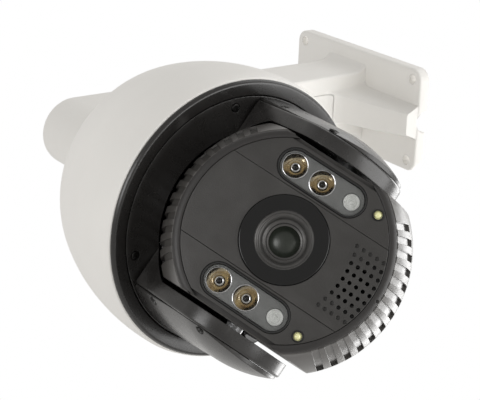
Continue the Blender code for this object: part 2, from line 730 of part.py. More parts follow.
def tilt_bearings():
    for side, name in ((1, "tilt_bearing_right"), (-1, "tilt_bearing_left")):
        low, high = ARM_INNER_U + GAP, ARM_INNER_U + 0.0050
        profile = [(BEARING_R, low), (BEARING_R, high), (0.0108, high), (0.0104, high - 0.0008)]
        profile += [(0.0096, high - 0.0008), (0.0092, high), (SHAFT_R + GAP, high), (SHAFT_R + GAP, low)]
        profile += [(0.0092, low), (0.0096, low + 0.0008), (0.0104, low + 0.0008), (0.0108, low)]
        place(name, lathe(profile, 16, arm_frame(side)), "steel", "pan")


PULLEY_LOW = 0.0742
PULLEY_HIGH = 0.0822


def tilt_motor():
    at = arm_frame(-1) @ Matrix.Translation((0, TILT_AXIS_DROP + TILT_MOTOR_Z, 0))
    motor = place("tilt_motor", motor_shape(0.014, 0.004, 0.042, 0.066, at), "motor_steel", "pan")
    join(motor, rod(0.0020, 0.0655, PULLEY_HIGH, 12, at))


def tilt_motor_pulley():
    at = arm_frame(-1) @ Matrix.Translation((0, TILT_AXIS_DROP + TILT_MOTOR_Z, 0))
    shape = lathe(pulley_profile(TILT_PINION_R, 0.0024, PULLEY_LOW, PULLEY_HIGH), 14, at)
    place("tilt_motor_pulley", shape, "aluminium", "tilt_motor_pulley")


def tilt_belt():
    distance = TILT_AXIS_DROP + TILT_MOTOR_Z
    low, high = PULLEY_LOW + 0.0017, PULLEY_HIGH - 0.0017
    shape = belt_shape(TILT_PULLEY_R, TILT_PINION_R, distance, low, high, arm_frame(-1))
    place("tilt_belt", shape, "belt_rubber", "pan")


# ---------------------------------------------------------------- camera head
def head_slab(half, low, high, reach=0.12):
    """A block across the lens frame: |X| up to half, Z from low to high."""
    return prism(rectangle(2 * half, 2 * reach), low, high, LENS)


def ball_profile(radius, front):
    """A ball's section from its back pole to a flat front at Z = front."""
    edge = math.degrees(math.asin(front / radius))
    return [(0, -radius)] + arc((0, 0), radius, -79, edge, 12) + [(0, front)]


def fin_slot(turn, back):
    """One cooling slot: its floor leaves the ball at the seam and runs back along the lens axis."""
    section = [(FIN_DEPTH - math.sqrt(BALL_R**2 - back**2), back)]
    section += [(-radius, l) for radius, l in FIN_FLOOR_LINE if l > back + 0.004]
    section += [(-FIN_CLEAR_R, FIN_FLOOR_LINE[-1][1]), (-FIN_CLEAR_R, back)]
    return outward(prism(section, -FIN_SLOT / 2, FIN_SLOT / 2, LENS @ turn @ SIDEWAYS))


def fin_back(across):
    """Where a slot ends behind: further forward toward the right arm."""
    middle, slope, curve = FIN_BACK
    return middle + slope * across + curve * across**2


def head_rear_shell():
    """The cast ball: flat sides, a round hollow open at the front, and cooling slots below and above."""
    ball = place("head_rear_shell", lathe(ball_profile(BALL_R, LIP_L), 40, LENS), "fin_paint", "tilt")
    keep(ball, head_slab(SIDE_FLAT_U, -0.1, LIP_L + 0.01))
    slab = prism(rectangle(2 * (SIDE_FLAT_U - 0.003), 0.24), -0.1, 0.1, LENS)
    inner = ball_profile(BALL_INNER_R, SEAM_L)
    inner[-1:] = [(inner[-2][0], SEAM_L + 0.005), (0, SEAM_L + 0.005)]
    cut(ball, combined(lathe(inner, 28, LENS), slab, "INTERSECT"))
    slots = []
    for top in (0, 180):
        for index in range(-FINS_EACH_SIDE, FINS_EACH_SIDE + 1):
            turn = Matrix.Rotation(math.radians(top) + index * FIN_PITCH, 4, "Z")
            slots.append(fin_slot(turn, fin_back(-index if top else index)))
    cut(ball, merged(slots))
    cut(ball, rod(LIP_R, SEAM_L, LIP_L + 0.005, 56, LENS))
    across = LENS @ ALONG_X
    cut(ball, rod(SHAFT_R + 0.0010, -0.1, 0.1, 20, across))


def head_front_shell():
    """The dark front housing: a back wall, with the bevelled edge that frames the face."""
    inside = LIP_R - 2 * GAP
    profile = [(0, SEAM_L + GAP), (inside, SEAM_L + GAP), (inside, LIP_L + GAP), (SEAM_R, LIP_L + GAP)]
    profile += [(SEAM_R - 0.0006, LIP_L + 0.0014), (FACE_R + 0.0022, FACE_L - 0.0010)]
    profile += [(FACE_R + 0.0008, FACE_L - 0.0006), (FACE_R, FACE_L - 0.0004)]
    profile += [(FACE_R, PANEL_BACK_L), (0, PANEL_BACK_L)]
    shell = place("head_front_shell", lathe(profile, 48, LENS), "panel_black", "tilt")
    keep(shell, head_slab(SIDE_FLAT_U - 0.001, 0.0, 0.1))
    cut(shell, rod(WINDOW_R - 0.002, 0.03, 0.05, 40, LENS))
    cut(shell, rod(0.0125, 0.03, 0.05, 24, LENS @ Matrix.Translation((0, -0.0560, 0))))
    slots = [prism(led_slot(0.0112, side * LED_U), 0.03, 0.05, LENS) for side in (-1, 1)]
    cut(shell, merged(slots))


def face_plate():
    disc = prism(circle(FACE_R - GAP, 48), PANEL_BACK_L + GAP, FACE_L, LENS)
    plate = place("face_plate", disc, "graphite_paint", "tilt")
    keep(plate, head_slab(PANEL_SPLIT_U - GAP, 0.0, 0.1))
    cut(plate, rod(WINDOW_R + GAP + 0.0001, 0.03, 0.06, 40, LENS))
    holes = []
    for column in range(-3, 4):
        angle = math.radians(-90) + column * 0.125
        for row in range(5):
            spot = (0.0470 + row * 0.00527) * math.sin(angle)
            at = LENS @ Matrix.Translation((column * 0.0059, spot, 0))
            holes.append(prism(circle(0.0014, 6), 0.03, 0.06, at))
    cut(plate, merged(holes))


def side_panels():
    for side, name in ((1, "side_panel_right"), (-1, "side_panel_left")):
        disc = prism(circle(FACE_R - GAP, 48), PANEL_BACK_L + GAP, FACE_L - 0.0004, LENS)
        panel = place(name, disc, "graphite_paint", "tilt")
        middle = side * (PANEL_SPLIT_U + PANEL_EDGE_U) / 2
        width = PANEL_EDGE_U - PANEL_SPLIT_U
        keep(panel, prism(rectangle(width, 0.2, (middle, 0)), 0.0, 0.1, LENS))
        slot = prism(led_slot(0.0124, side * LED_U), 0.03, 0.06, LENS)
        strobe = rod(0.0040, 0.03, 0.06, 14, LENS @ Matrix.Translation((side * STROBE_U, STROBE_Y, 0)))
        cut(panel, merged([slot, strobe]))


def slot_ring(outer, inner, low, high, x):
    """A ring between two slots of the same length, as a closed solid."""
    lines = [led_slot(outer, x), led_slot(inner, x)]
    bm = bmesh.new()
    rings = [[bm.verts.new(LENS @ Vector((px, py, z))) for px, py in lines[which]]
             for which, z in ((0, low), (0, high), (1, high), (1, low))]
    for one, two in zip(rings, rings[1:] + rings[:1]):
        for i in range(len(one)):
            j = (i + 1) % len(one)
            bm.faces.new((one[i], one[j], two[j], two[i]))
    return outward(bm)


LED_SPOTS = (LED_TOP, 0.0)
LED_PANE_R = 0.0104
PANEL_BACK_L = 0.0444


def led_strips():
    for side, word in ((1, "right"), (-1, "left")):
        x = side * LED_U
        place("led_gasket_" + word, slot_ring(0.0121, 0.0107, PANEL_BACK_L + GAP, FACE_L + 0.0001, x),
              "rubber_seal", "tilt")
        window = prism(led_slot(LED_PANE_R, x), FACE_L - 0.0012, FACE_L, LENS)
        place("led_window_" + word, window, "clear_window", "tilt")
        block = prism(led_slot(LED_PANE_R, x), 0.0370, FACE_L - 0.0022, LENS)
        holder = place("led_holder_" + word, block, "holder_grey", "tilt")
        cups = []
        for y in LED_SPOTS:
            cone = [(0, 0.0385), (0.0036, 0.0385), (0.0094, FACE_L - 0.0022), (0.0094, 0.05), (0, 0.05)]
            cups.append(lathe(cone, 20, LENS @ Matrix.Translation((x, y, 0))))
        well = [(0, 0.0420), (0.0061, 0.0420), (0.0061, 0.05), (0, 0.05)]
        cups.append(lathe(well, 16, LENS @ Matrix.Translation((x, LED_LOW, 0))))
        cut(holder, merged(cups))
        for y, place_word in zip(LED_SPOTS, ("upper", "middle")):
            cup = [(0.0022, 0.0388), (0.0033, 0.0388), (0.0091, FACE_L - 0.0024), (0.0084, FACE_L - 0.0024)]
            at = LENS @ Matrix.Translation((x, y, 0))
            place("ir_reflector_%s_%s" % (word, place_word), lathe(cup, 20, at), "gold_reflector", "tilt")
        at = LENS @ Matrix.Translation((x, LED_LOW, 0))
        lens = [(0, 0.0423), (0.0057, 0.0423), (0.0057, 0.0455), (0.0045, 0.0461)]
        lens += [(0.0022, 0.0464), (0, 0.0465)]
        place("white_led_" + word, lathe(lens, 16, at), "led_white", "tilt")
        at = LENS @ Matrix.Translation((side * STROBE_U, STROBE_Y, 0))
        bead = [(0, 0.0447), (0.0034, 0.0447), (0.0034, 0.0482), (0.0026, 0.0491)]
        bead += [(0.0013, 0.0495), (0, 0.0496)]
        place("strobe_led_" + word, lathe(bead, 12, at), "led_yellow", "tilt")


def lens_window():
    profile = [(0, FACE_L - 0.0020), (WINDOW_R, FACE_L - 0.0020), (WINDOW_R, FACE_L + 0.0006)]
    profile += [(WINDOW_R - 0.0006, FACE_L + 0.0012), (0, FACE_L + 0.0012)]
    place("lens_window", lathe(profile, 40, LENS), "dark_window", "tilt")


BARREL_BACK = -0.0320
FILTER_L = -0.0250


def lens_barrel():
    """The fixed lens tube, stepped inside, with a side slot at its back for the filter's slider."""
    profile = [(0.0240, BARREL_BACK), (0.0240, 0.0360), (0.0262, 0.0360), (0.0262, 0.0405), (0.0205, 0.0405)]
    profile += [(0.0205, 0.0330), (0.0180, 0.0330), (0.0180, BARREL_BACK)]
    barrel = place("lens_barrel", lathe(profile, 28, LENS), "lens_metal", "tilt")
    cut(barrel, prism(rectangle(0.060, 0.020, (0, 0)), FILTER_L - 0.0012, FILTER_L + 0.0012, LENS))


def lens_front_element():
    profile = [(0, 0.0345), (0.0190, 0.0345), (0.0200, 0.0350), (0.0200, 0.0370)]
    profile += [(0.0150, 0.0392), (0.0080, 0.0402), (0, 0.0405)]
    place("lens_front_element", lathe(profile, 20, LENS), "lens_glass", "tilt")


def moving_group(name, body, middle, thick):
    """A sliding lens group: a cell ring round a biconvex glass, made as one piece."""
    half = thick / 2
    profile = [(0, middle - half * 0.55), (0.0120, middle - half * 0.3), (0.0130, middle - half)]
    profile += [(0.0174, middle - half), (0.0174, middle + half), (0.0130, middle + half)]
    profile += [(0.0120, middle + half * 0.3), (0, middle + half * 0.55)]
    place(name, lathe(profile, 20, LENS), "lens_glass", body)


def ir_cut_filter():
    frame = prism(rectangle(0.0290, 0.0170, (0.0035, 0)), FILTER_L - 0.0008, FILTER_L + 0.0008, LENS)
    slider = place("ir_cut_filter", frame, "lens_glass", "filter")
    cut(slider, rod(0.0052, FILTER_L - 0.01, FILTER_L + 0.01, 20, LENS @ Matrix.Translation((0.0110, 0, 0))))


def sensor_board():
    sheet = prism(rectangle(0.046, 0.046), -0.0350, -0.0334, LENS)
    board = place("sensor_board", sheet, "circuit_green", "tilt")
    join(board, prism(rectangle(0.012, 0.010), -0.0338, -0.0300, LENS))
    join(board, prism(rectangle(0.016, 0.016, (0.008, -0.01)), -0.0372, -0.0345, LENS))


def speaker():
    at = LENS @ Matrix.Translation((0, -0.0560, 0))
    profile = [(0, 0.0300), (0.0080, 0.0300), (0.0080, 0.0340), (0.0118, 0.0365), (0.0118, 0.0400)]
    profile += [(0.0100, 0.0400), (0.0045, 0.0375), (0, 0.0382)]
    place("speaker", lathe(profile, 16, at), "panel_black", "tilt")


def tilt_shafts():
    """Hollow shafts from flanges inside the ball's flat sides, out through the arm bearings."""
    flange = SIDE_FLAT_U - 0.003 - GAP
    for side, name in ((1, "tilt_shaft_right"), (-1, "tilt_shaft_left")):
        end = 0.0845 if side < 0 else 0.0755
        profile = [(0.0035, flange - 0.0025), (0.0130, flange - 0.0025), (0.0130, flange), (SHAFT_R, flange)]
        profile += [(SHAFT_R, 0.0738), (0.0055, 0.0740), (0.0055, end), (0.0035, end)]
        frame = LENS @ Matrix.Rotation(math.radians(90 * side), 4, "Y")
        place(name, lathe(profile, 16, frame), "steel", "tilt")


def tilt_pulley():
    frame = LENS @ Matrix.Rotation(math.radians(-90), 4, "Y")
    shape = lathe(pulley_profile(TILT_PULLEY_R, 0.0058, PULLEY_LOW, PULLEY_HIGH), 24, frame)
    place("tilt_pulley", shape, "aluminium", "tilt")


def build():
    clear_scene()
    make_parents()
    wall_bracket()
    access_cover()
    top_neck()
    cap_shell()
    rim_ring()
    chassis_plate()
    main_board()
    pan_bearing()
    pan_motor()
    pan_motor_pulley()
    pan_belt()
    slip_ring_stator()
    turntable()
    turntable_screws()
    pan_spindle()
    pan_pulley()
    for side, word in ((1, "right"), (-1, "left")):
        yoke_arm(side, "yoke_arm_" + word)
        arm_cover(side, "arm_cover_" + word)
    arm_screws()
    tilt_bearings()
    tilt_motor()
    tilt_motor_pulley()
    tilt_belt()
    head_rear_shell()
    head_front_shell()
    face_plate()
    side_panels()
    led_strips()
    lens_window()
    lens_barrel()
    lens_front_element()
    moving_group("zoom_group", "zoom", 0.0160, 0.0080)
    moving_group("focus_group", "focus", -0.0120, 0.0060)
    ir_cut_filter()
    sensor_board()
    speaker()
    tilt_shafts()
    tilt_pulley()
    weld_slivers()


build()
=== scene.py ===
"""The looks of the speed-dome camera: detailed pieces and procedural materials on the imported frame."""

import json
import math

import bmesh
import bpy
from mathutils import Matrix, Vector


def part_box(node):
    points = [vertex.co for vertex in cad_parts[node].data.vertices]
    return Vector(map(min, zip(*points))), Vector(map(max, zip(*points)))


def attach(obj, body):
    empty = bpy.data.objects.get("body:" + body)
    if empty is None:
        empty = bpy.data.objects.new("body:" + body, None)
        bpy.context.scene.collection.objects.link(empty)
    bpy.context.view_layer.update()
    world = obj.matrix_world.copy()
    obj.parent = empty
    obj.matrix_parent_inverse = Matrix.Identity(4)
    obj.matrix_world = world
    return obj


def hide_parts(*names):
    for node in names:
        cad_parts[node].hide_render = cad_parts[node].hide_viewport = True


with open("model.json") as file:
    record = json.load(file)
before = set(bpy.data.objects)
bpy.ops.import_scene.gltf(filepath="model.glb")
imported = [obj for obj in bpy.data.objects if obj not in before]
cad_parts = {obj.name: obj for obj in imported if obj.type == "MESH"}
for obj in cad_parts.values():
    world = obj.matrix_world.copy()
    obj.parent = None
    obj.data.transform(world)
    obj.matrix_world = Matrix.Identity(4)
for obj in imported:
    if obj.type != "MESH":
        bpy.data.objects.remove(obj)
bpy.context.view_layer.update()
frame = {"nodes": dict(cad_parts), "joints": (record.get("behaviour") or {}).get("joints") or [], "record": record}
JOINTS = {joint["name"]: joint for joint in frame["joints"]}
SLOT_OF = {entry["node"]: entry["material_slot"] for entry in frame["record"]["subparts"]}

# ---------------------------------------------------------------- places, from the frame
DOME = Matrix.Translation(JOINTS["pan"]["pos_m"])
TILT_POINT = Vector(JOINTS["tilt"]["pos_m"])
TILT_AXIS = Vector(JOINTS["tilt"]["axis"]).normalized()
LENS_AXIS = Vector(JOINTS["zoom"]["axis"]).normalized()


def axes_at(x_axis, z_axis, point):
    """A frame with the given X and Z axes."""
    y_axis = z_axis.cross(x_axis).normalized()
    turned = Matrix((x_axis, y_axis, x_axis.cross(y_axis))).transposed()
    return Matrix.Translation(point) @ turned.to_4x4()


UP = Vector((0, 0, 1))
YOKE = axes_at(TILT_AXIS, UP, DOME.translation)
BALL = axes_at(TILT_AXIS, UP, TILT_POINT)
LENS = axes_at(TILT_AXIS, LENS_AXIS, TILT_POINT)
ALONG_X = Matrix.Rotation(math.radians(90), 4, "Y")
ALONG_Y = Matrix.Rotation(math.radians(-90), 4, "X")
SIDEWAYS = Matrix(((0, 0, 1, 0), (1, 0, 0, 0), (0, 1, 0, 0), (0, 0, 0, 1)))
PAN_Y = DOME.translation.y
DROP = DOME.translation.z - TILT_POINT.z

# ---------------------------------------------------------------- sizes
# _R is a radius, _L a height along the lens axis, and _U a place along the tilt axis.
PLATE = (0.0970, 0.1825, 0.0100, 0.0110)
HOLE_X, HOLE_Z, HOLE_R, NOTCH_R = 0.0385, 0.0800, 0.0045, 0.0105
ARM_ROOT = ((-0.0300, 0.0), (-0.0250, 0.0002), (-0.0200, 0.0008), (-0.0160, 0.0020), (-0.0125, 0.0040))
GUSSET_BLEND, GUSSET_R, GUSSET_LEAN = (-0.0617, -0.0345), 0.0200, 18
GUSSET_FOOT, GUSSET_FRONT, GUSSET_BACK, GUSSET_FLARE = (-0.0226, -0.0905), (0.0110, 0.0140), 0.0165, 0.0040
ARM_HALF, ARM_LOW, ARM_HIGH = 0.0300, -0.0145, 0.0434
ARM_LOW_EDGE, ARM_HIGH_EDGE, PLATE_EDGE = 0.0022, 0.0060, 0.0018
ROOT_FLARE, RIB_BACK_Y, NOTCH_HEIGHT = 0.0080, -0.0090, 0.016
DUCT, DUCT_Z, DUCT_PAST_AXIS, NECK_HOLE_R = (0.042, 0.039, 0.006), 0.0175, 0.019, 0.0246
HATCH_DEPTH, HATCH_LEDGE, HATCH_SET_BACK, HATCH_CORNER = 0.0025, 0.0030, 0.0003, 0.002
RIM_R, RING_INNER_R, TABLE_R, RECESS_R = 0.1070, 0.0957, 0.0949, 0.0905
CAP_R, CAP_R_Z, CAP_SIDE, CAP_SHOULDER_Z, CAP_SHOULDER = 0.1102, 0.0200, 0.2000, 0.0900, 0.0840
CAP_HOLE_R, CAP_WALL, CAP_LIP, CAP_SIDE_Z = 0.0225, 0.0030, 0.0014, 0.0060
RING_LOW, RING_SEAT, RING_TOP, RING_LAP = -0.0014, 0.0018, 0.0060, 0.0022
RECESS_SKIN, TABLE_TOP, DISH_LOW = 0.0025, 0.0030, 0.0034
BELT_SLOT, TABLE_SCREW, TABLE_SCREW_R = (0.0100, 0.0400, -0.0785), (0.0635, -0.0605), 0.0030
MOTOR_SEAT_X, MOTOR_SEAT_WIDE, MOTOR_SEAT_Z = (-0.064, -0.046), 0.0200, (0.0200, 0.0257)
ARM_IN, ARM_BAND, ARM_R, ARM_SKIN, ARM_ROUND, ARM_EASE = 0.0684, 0.0793, 0.0490, 0.0032, 0.85, 0.0020
COVER_R, COVER_TOP_R = 0.0920, 0.0943
BALL_R, BALL_FLAT, SEAM_L, SEAM_R, LIP_L, LIP_R = 0.0887, 0.0650, 0.0408, 0.0757, 0.0450, 0.0732
FACE_L, FACE_R, WINDOW_R = 0.0487, 0.0703, 0.0306
SPLIT_U, PANEL_U = 0.0326, 0.0612
LED_U, LED_TOP, LED_LOW, STROBE = 0.0465, 0.0218, -0.0235, (0.0487, -0.0433)
ROOM_R, FLAT_WALL, SHAFT_R, BEZEL_FOOT_L, PANEL_FOOT_L = 0.0795, 0.003, 0.0080, 0.0444, 0.0447
BEVEL_EDGE, BARREL_HOLE_R, PANEL_SET_BACK, PANEL_EASE = 0.0009, 0.0286, 0.0004, 0.0004
HOLE_SPACING, HOLE_ROW, HOLE_TOP, HOLE_RISE, SOUND_R = 0.00588, 0.00528, -0.0470, 0.0041, 0.00145
DIMPLE_DEPTH, SPEAKER_HOLE, PIN_HOLE = 0.0014, (0.0125, -0.0560), (0.0011, -0.0744)
LAMP_MOUTH_L, LAMP_FLOOR_L = FACE_L - 0.0024, 0.0388
SLOT_R, SEAL_R, SEAL_IN_R, PANE_R, HOLDER_SLOT_R = 0.0124, 0.0121, 0.0107, 0.0104, 0.0112
HOLDER_LOW_L, HOLDER_TOP_L, CUP_FLOOR_L = 0.0370, FACE_L - 0.0022, 0.0380
STROBE_R, STROBE_SLEEVE_R, STROBE_BEAD_R = 0.0040, 0.0039, 0.0029
GLASS_TOP_L, GLASS_LOW_L, GLASS_IN_R, GLASS_EDGE = FACE_L + 0.0012, FACE_L - 0.0020, 0.0203, 0.0008
FIN_PITCH, FIN_WIDE, FINS, FIN_CLEAR, FIN_DEPTH = math.radians(6.8), 0.0050, 6, 0.0970, 0.0028
FIN_FLOOR = ((0.0834, 0.0260), (0.0812, 0.0330), (0.0759, 0.0454))
FIN_BACK = (0.0015, 0.0022, 0.00022)
SCREW_SPOTS = ((0.0392, -0.0165), (0.0432, 0.0365))
GAP = 0.0003
SIDES = ((1, "right"), (-1, "left"))


# ---------------------------------------------------------------- shape helpers
def arc(centre, radius, start, end, count):
    angles = [math.radians(start + (end - start) * i / (count - 1)) for i in range(count)]
    return [(centre[0] + radius * math.cos(a), centre[1] + radius * math.sin(a)) for a in angles]


def circle(radius, count, centre=(0, 0)):
    return arc(centre, radius, 0, 360 - 360 / count, count)


def rectangle(width, height, centre=(0, 0)):
    x, y = width / 2, height / 2
    return [(centre[0] + a, centre[1] + b) for a, b in ((x, -y), (x, y), (-x, y), (-x, -y))]


def rounded_rectangle(width, height, radius, steps=9):
    x, y = width / 2 - radius, height / 2 - radius
    corners = ((x, -y, -90), (x, y, 0), (-x, y, 90), (-x, -y, 180))
    return [p for cx, cy, start in corners for p in arc((cx, cy), radius, start, start + 90, steps)]


def slot_outline(radius, x=0.0, steps=25):
    """The LED strips' outline, with round ends along Y."""
    return arc((x, LED_TOP), radius, 0, 180, steps) + arc((x, LED_LOW + 0.002), radius, 180, 360, steps)


def arm_outline(radius, top, steps=49):
    below = [(x, y * ARM_ROUND) for x, y in arc((0, 0), radius, -180, 0, steps)]
    return below + [(radius, top), (-radius, top)]


def outward(bm):
    bmesh.ops.recalc_face_normals(bm, faces=bm.faces)
    if bm.calc_volume(signed=True) < 0:
        bmesh.ops.reverse_faces(bm, faces=bm.faces)
    return bm


def loft(rings, matrix=Matrix()):
    """A solid through closed rings of equal length, with flat ends."""
    bm = bmesh.new()
    loops = [[bm.verts.new(matrix @ Vector(p)) for p in ring] for ring in rings]
    for low, high in zip(loops, loops[1:]):
        for i in range(len(low)):
            j = (i + 1) % len(low)
            bm.faces.new((low[i], low[j], high[j], high[i]))
    bm.faces.new(list(reversed(loops[0])))
    bm.faces.new(loops[-1])
    return outward(bm)


def prism(outline, low, high, matrix=Matrix(), edge=0.0):
    """A flat outline pulled from Z = low to Z = high. With an edge, its top is rounded inwards by it."""
    levels = [(low, 0.0), (high, 0.0)]
    if edge:
        turn = [math.radians(a) for a in (0, 22.5, 45, 67.5, 90)]
        levels = [(low, 0.0)] + [(high - edge + edge * math.sin(a), edge - edge * math.cos(a)) for a in turn]
    return loft([[(x, y, z) for x, y in inset(outline, by)] for z, by in levels], matrix)


def inset(outline, by):
    """The outline moved inwards by a small distance, corner by corner."""
    if not by:
        return outline
    moved = []
    count = len(outline)
    for i, here in enumerate(outline):
        before, after = Vector(outline[i - 1]), Vector(outline[(i + 1) % count])
        one, two = (Vector(here) - before).normalized(), (after - Vector(here)).normalized()
        normal = Vector((-(one.y + two.y), one.x + two.x))
        normal = normal / max(normal.length_squared / 2, 0.3)
        moved.append((here[0] + normal.x * by, here[1] + normal.y * by))
    return moved


def lathe(profile, segments=96, matrix=Matrix()):
    """A closed profile of (radius, height) points turned about Z. Points on the axis become one point."""
    bm = bmesh.new()
    rings = []
    for radius, height in profile:
        if radius < 1e-7:
            rings.append([bm.verts.new(matrix @ Vector((0, 0, height)))])
            continue
        turn = [2 * math.pi * i / segments for i in range(segments)]
        rings.append([bm.verts.new(matrix @ Vector((radius * math.cos(a), radius * math.sin(a), height)))
                      for a in turn])
    for one, two in zip(rings, rings[1:] + rings[:1]):
        for i in range(segments):
            j = (i + 1) % segments
            corners = [one[i % len(one)], one[j % len(one)], two[j % len(two)], two[i % len(two)]]
            kept = list(dict.fromkeys(corners))
            if len(kept) > 2:
                bm.faces.new(kept)
    return outward(bm)


def rod(radius, low, high, segments=48, matrix=Matrix()):
    return prism(circle(radius, segments), low, high, matrix)


def hollow_prism(outer, inner, levels, matrix):
    """A ring between two outlines of equal length. A level is (Z, outer inset, inner inset)."""
    rings = [[(x, y, z) for x, y in inset(outer, by)] for z, by, _ in levels]
    rings += [[(x, y, z) for x, y in inset(inner, by)] for z, _, by in reversed(levels)]
    bm = bmesh.new()
    loops = [[bm.verts.new(matrix @ Vector(p)) for p in ring] for ring in rings]
    for one, two in zip(loops, loops[1:] + loops[:1]):
        for i in range(len(one)):
            j = (i + 1) % len(one)
            bm.faces.new((one[i], one[j], two[j], two[i]))
    return outward(bm)


def merged(shapes):
    """Several shapes that don't meet, as one mesh."""
    whole = bmesh.new()
    for shape in shapes:
        passing = bpy.data.meshes.new("passing")
        shape.to_mesh(passing)
        shape.free()
        whole.from_mesh(passing)
        bpy.data.meshes.remove(passing)
    return whole


def combined(first, operation, *others):
    """The result of one or more Booleans, worked out at once."""
    for other in others:
        made = []
        for index, shape in enumerate((first, other)):
            mesh = bpy.data.meshes.new("operand_%d" % index)
            shape.to_mesh(mesh)
            shape.free()
            made.append(bpy.data.objects.new("operand_%d" % index, mesh))
            bpy.context.scene.collection.objects.link(made[-1])
        modifier = made[0].modifiers.new("both", "BOOLEAN")
        modifier.operation = operation
        modifier.solver = "EXACT"
        modifier.object = made[1]
        bpy.context.view_layer.update()
        first = bmesh.new()
        first.from_object(made[0], bpy.context.evaluated_depsgraph_get())
        for thing in made:
            bpy.data.objects.remove(thing)
    return first


def piece(name, bm, material, body, *nodes, angle=30):
    """Makes a visible piece, in place in the frame, riding on a body and standing for CAD nodes."""
    mesh = bpy.data.meshes.new(name)
    bm.to_mesh(mesh)
    bm.free()
    mesh.materials.append(material)
    mesh.shade_smooth()
    mesh.set_sharp_from_angle(angle=math.radians(angle))
    made = bpy.data.objects.new(name, mesh)
    bpy.context.scene.collection.objects.link(made)
    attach(made, body)
    if nodes:
        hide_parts(*nodes)
    return made


# ---------------------------------------------------------------- materials
class Look:
    """A procedural material on one Principled shader, built up step by step."""

    def __init__(self, name, colour, roughness, metallic=0.0):
        self.material = bpy.data.materials.new("look_" + name)
        self.material.use_nodes = True
        self.nodes = self.material.node_tree.nodes
        self.links = self.material.node_tree.links
        self.shader = self.nodes["Principled BSDF"]
        self.colour = colour
        self.put("Base Color", (*colour, 1.0))
        self.put("Roughness", roughness)
        self.put("Metallic", metallic)
        self.place = self.nodes.new("ShaderNodeTexCoord").outputs["Object"]
        self.normal = None

    def put(self, socket, value):
        self.shader.inputs[socket].default_value = value

    def noise(self, scale, detail=4.0, rough=0.55):
        node = self.nodes.new("ShaderNodeTexNoise")
        node.inputs["Scale"].default_value = scale
        node.inputs["Detail"].default_value = detail
        node.inputs["Roughness"].default_value = rough
        self.links.new(self.place, node.inputs["Vector"])
        return node.outputs["Fac"]

    def ramp(self, source, low, high, dark, light):
        """Maps source from low..high to the two numbers or colours."""
        node = self.nodes.new("ShaderNodeMapRange")
        node.inputs["From Min"].default_value = low
        node.inputs["From Max"].default_value = high
        node.inputs["To Min"].default_value = dark
        node.inputs["To Max"].default_value = light
        self.links.new(source, node.inputs["Value"])
        return node.outputs["Result"]

    def mix(self, factor, one, two):
        node = self.nodes.new("ShaderNodeMix")
        node.data_type = "RGBA"
        self.links.new(factor, node.inputs["Factor"])
        for socket, value in ((node.inputs[6], one), (node.inputs[7], two)):
            if isinstance(value, tuple):
                socket.default_value = (*value, 1.0)
            else:
                self.links.new(value, socket)
        return node.outputs[2]

    def mottled(self, scale, amount):
        """Lets the colour drift a little, darker and lighter, in soft patches."""
        dark = tuple(c * (1 - amount) for c in self.colour)
        light = tuple(min(1.0, c * (1 + amount)) for c in self.colour)
        self.base = self.mix(self.ramp(self.noise(scale), 0.3, 0.7, 0.0, 1.0), dark, light)
        self.links.new(self.base, self.shader.inputs["Base Color"])
        return self

    def worn_and_highlit_edges(self, colour, amount, scale=60.0):
        """Paler edges where the surface turns sharply, broken up by noise: partly rubbed wear and partly a painted
        edge highlight.
        """
        sharpness = self.nodes.new("ShaderNodeNewGeometry").outputs["Pointiness"]
        edge = self.ramp(sharpness, 0.52, 0.62, 0.0, amount)
        broken = self.nodes.new("ShaderNodeMath")
        broken.operation = "MULTIPLY"
        self.links.new(edge, broken.inputs[0])
        self.links.new(self.ramp(self.noise(scale, 6.0), 0.35, 0.75, 0.0, 1.0), broken.inputs[1])
        self.base = self.mix(broken.outputs[0], self.base, colour)
        self.links.new(self.base, self.shader.inputs["Base Color"])
        return self

    def uneven(self, scale, low, high):
        """Roughness that drifts between two values."""
        drift = self.ramp(self.noise(scale, 5.0), 0.3, 0.7, low, high)
        self.links.new(drift, self.shader.inputs["Roughness"])
        return self

    def rounded(self, radius):
        """Shades sharp edges as if they were rounded by a radius."""
        node = self.nodes.new("ShaderNodeBevel")
        node.samples = 6
        node.inputs["Radius"].default_value = radius
        self.normal = node.outputs["Normal"]
        self.links.new(self.normal, self.shader.inputs["Normal"])
        return self

    def bumpy(self, height, scale, strength=1.0, detail=2.0):
        """Fine surface grain, with its height in metres."""
        node = self.nodes.new("ShaderNodeBump")
        node.inputs["Strength"].default_value = strength
        node.inputs["Distance"].default_value = height
        self.links.new(self.noise(scale, detail), node.inputs["Height"])
        if self.normal:
            self.links.new(self.normal, node.inputs["Normal"])
        self.normal = node.outputs["Normal"]
        self.links.new(self.normal, self.shader.inputs["Normal"])
        return self

    def brushed(self, height, scale):
        """Fine turned or ground lines, stretched across the part."""
        stretch = self.nodes.new("ShaderNodeMapping")
        stretch.inputs["Scale"].default_value = (1.0, 1.0, 40.0)
        self.links.new(self.place, stretch.inputs["Vector"])
        lines = self.nodes.new("ShaderNodeTexNoise")
        lines.inputs["Scale"].default_value = scale
        self.links.new(stretch.outputs["Vector"], lines.inputs["Vector"])
        node = self.nodes.new("ShaderNodeBump")
        node.inputs["Distance"].default_value = height
        self.links.new(lines.outputs["Fac"], node.inputs["Height"])
        self.links.new(node.outputs["Normal"], self.shader.inputs["Normal"])
        return self


def white_paint():
    look = Look("white_paint", (0.84, 0.825, 0.795), 0.42).mottled(14.0, 0.025)
    look.worn_and_highlit_edges((0.86, 0.85, 0.82), 0.5).uneven(40.0, 0.38, 0.5)
    return look.rounded(0.0016).bumpy(0.00006, 1500.0).bumpy(0.0002, 220.0, 0.35)


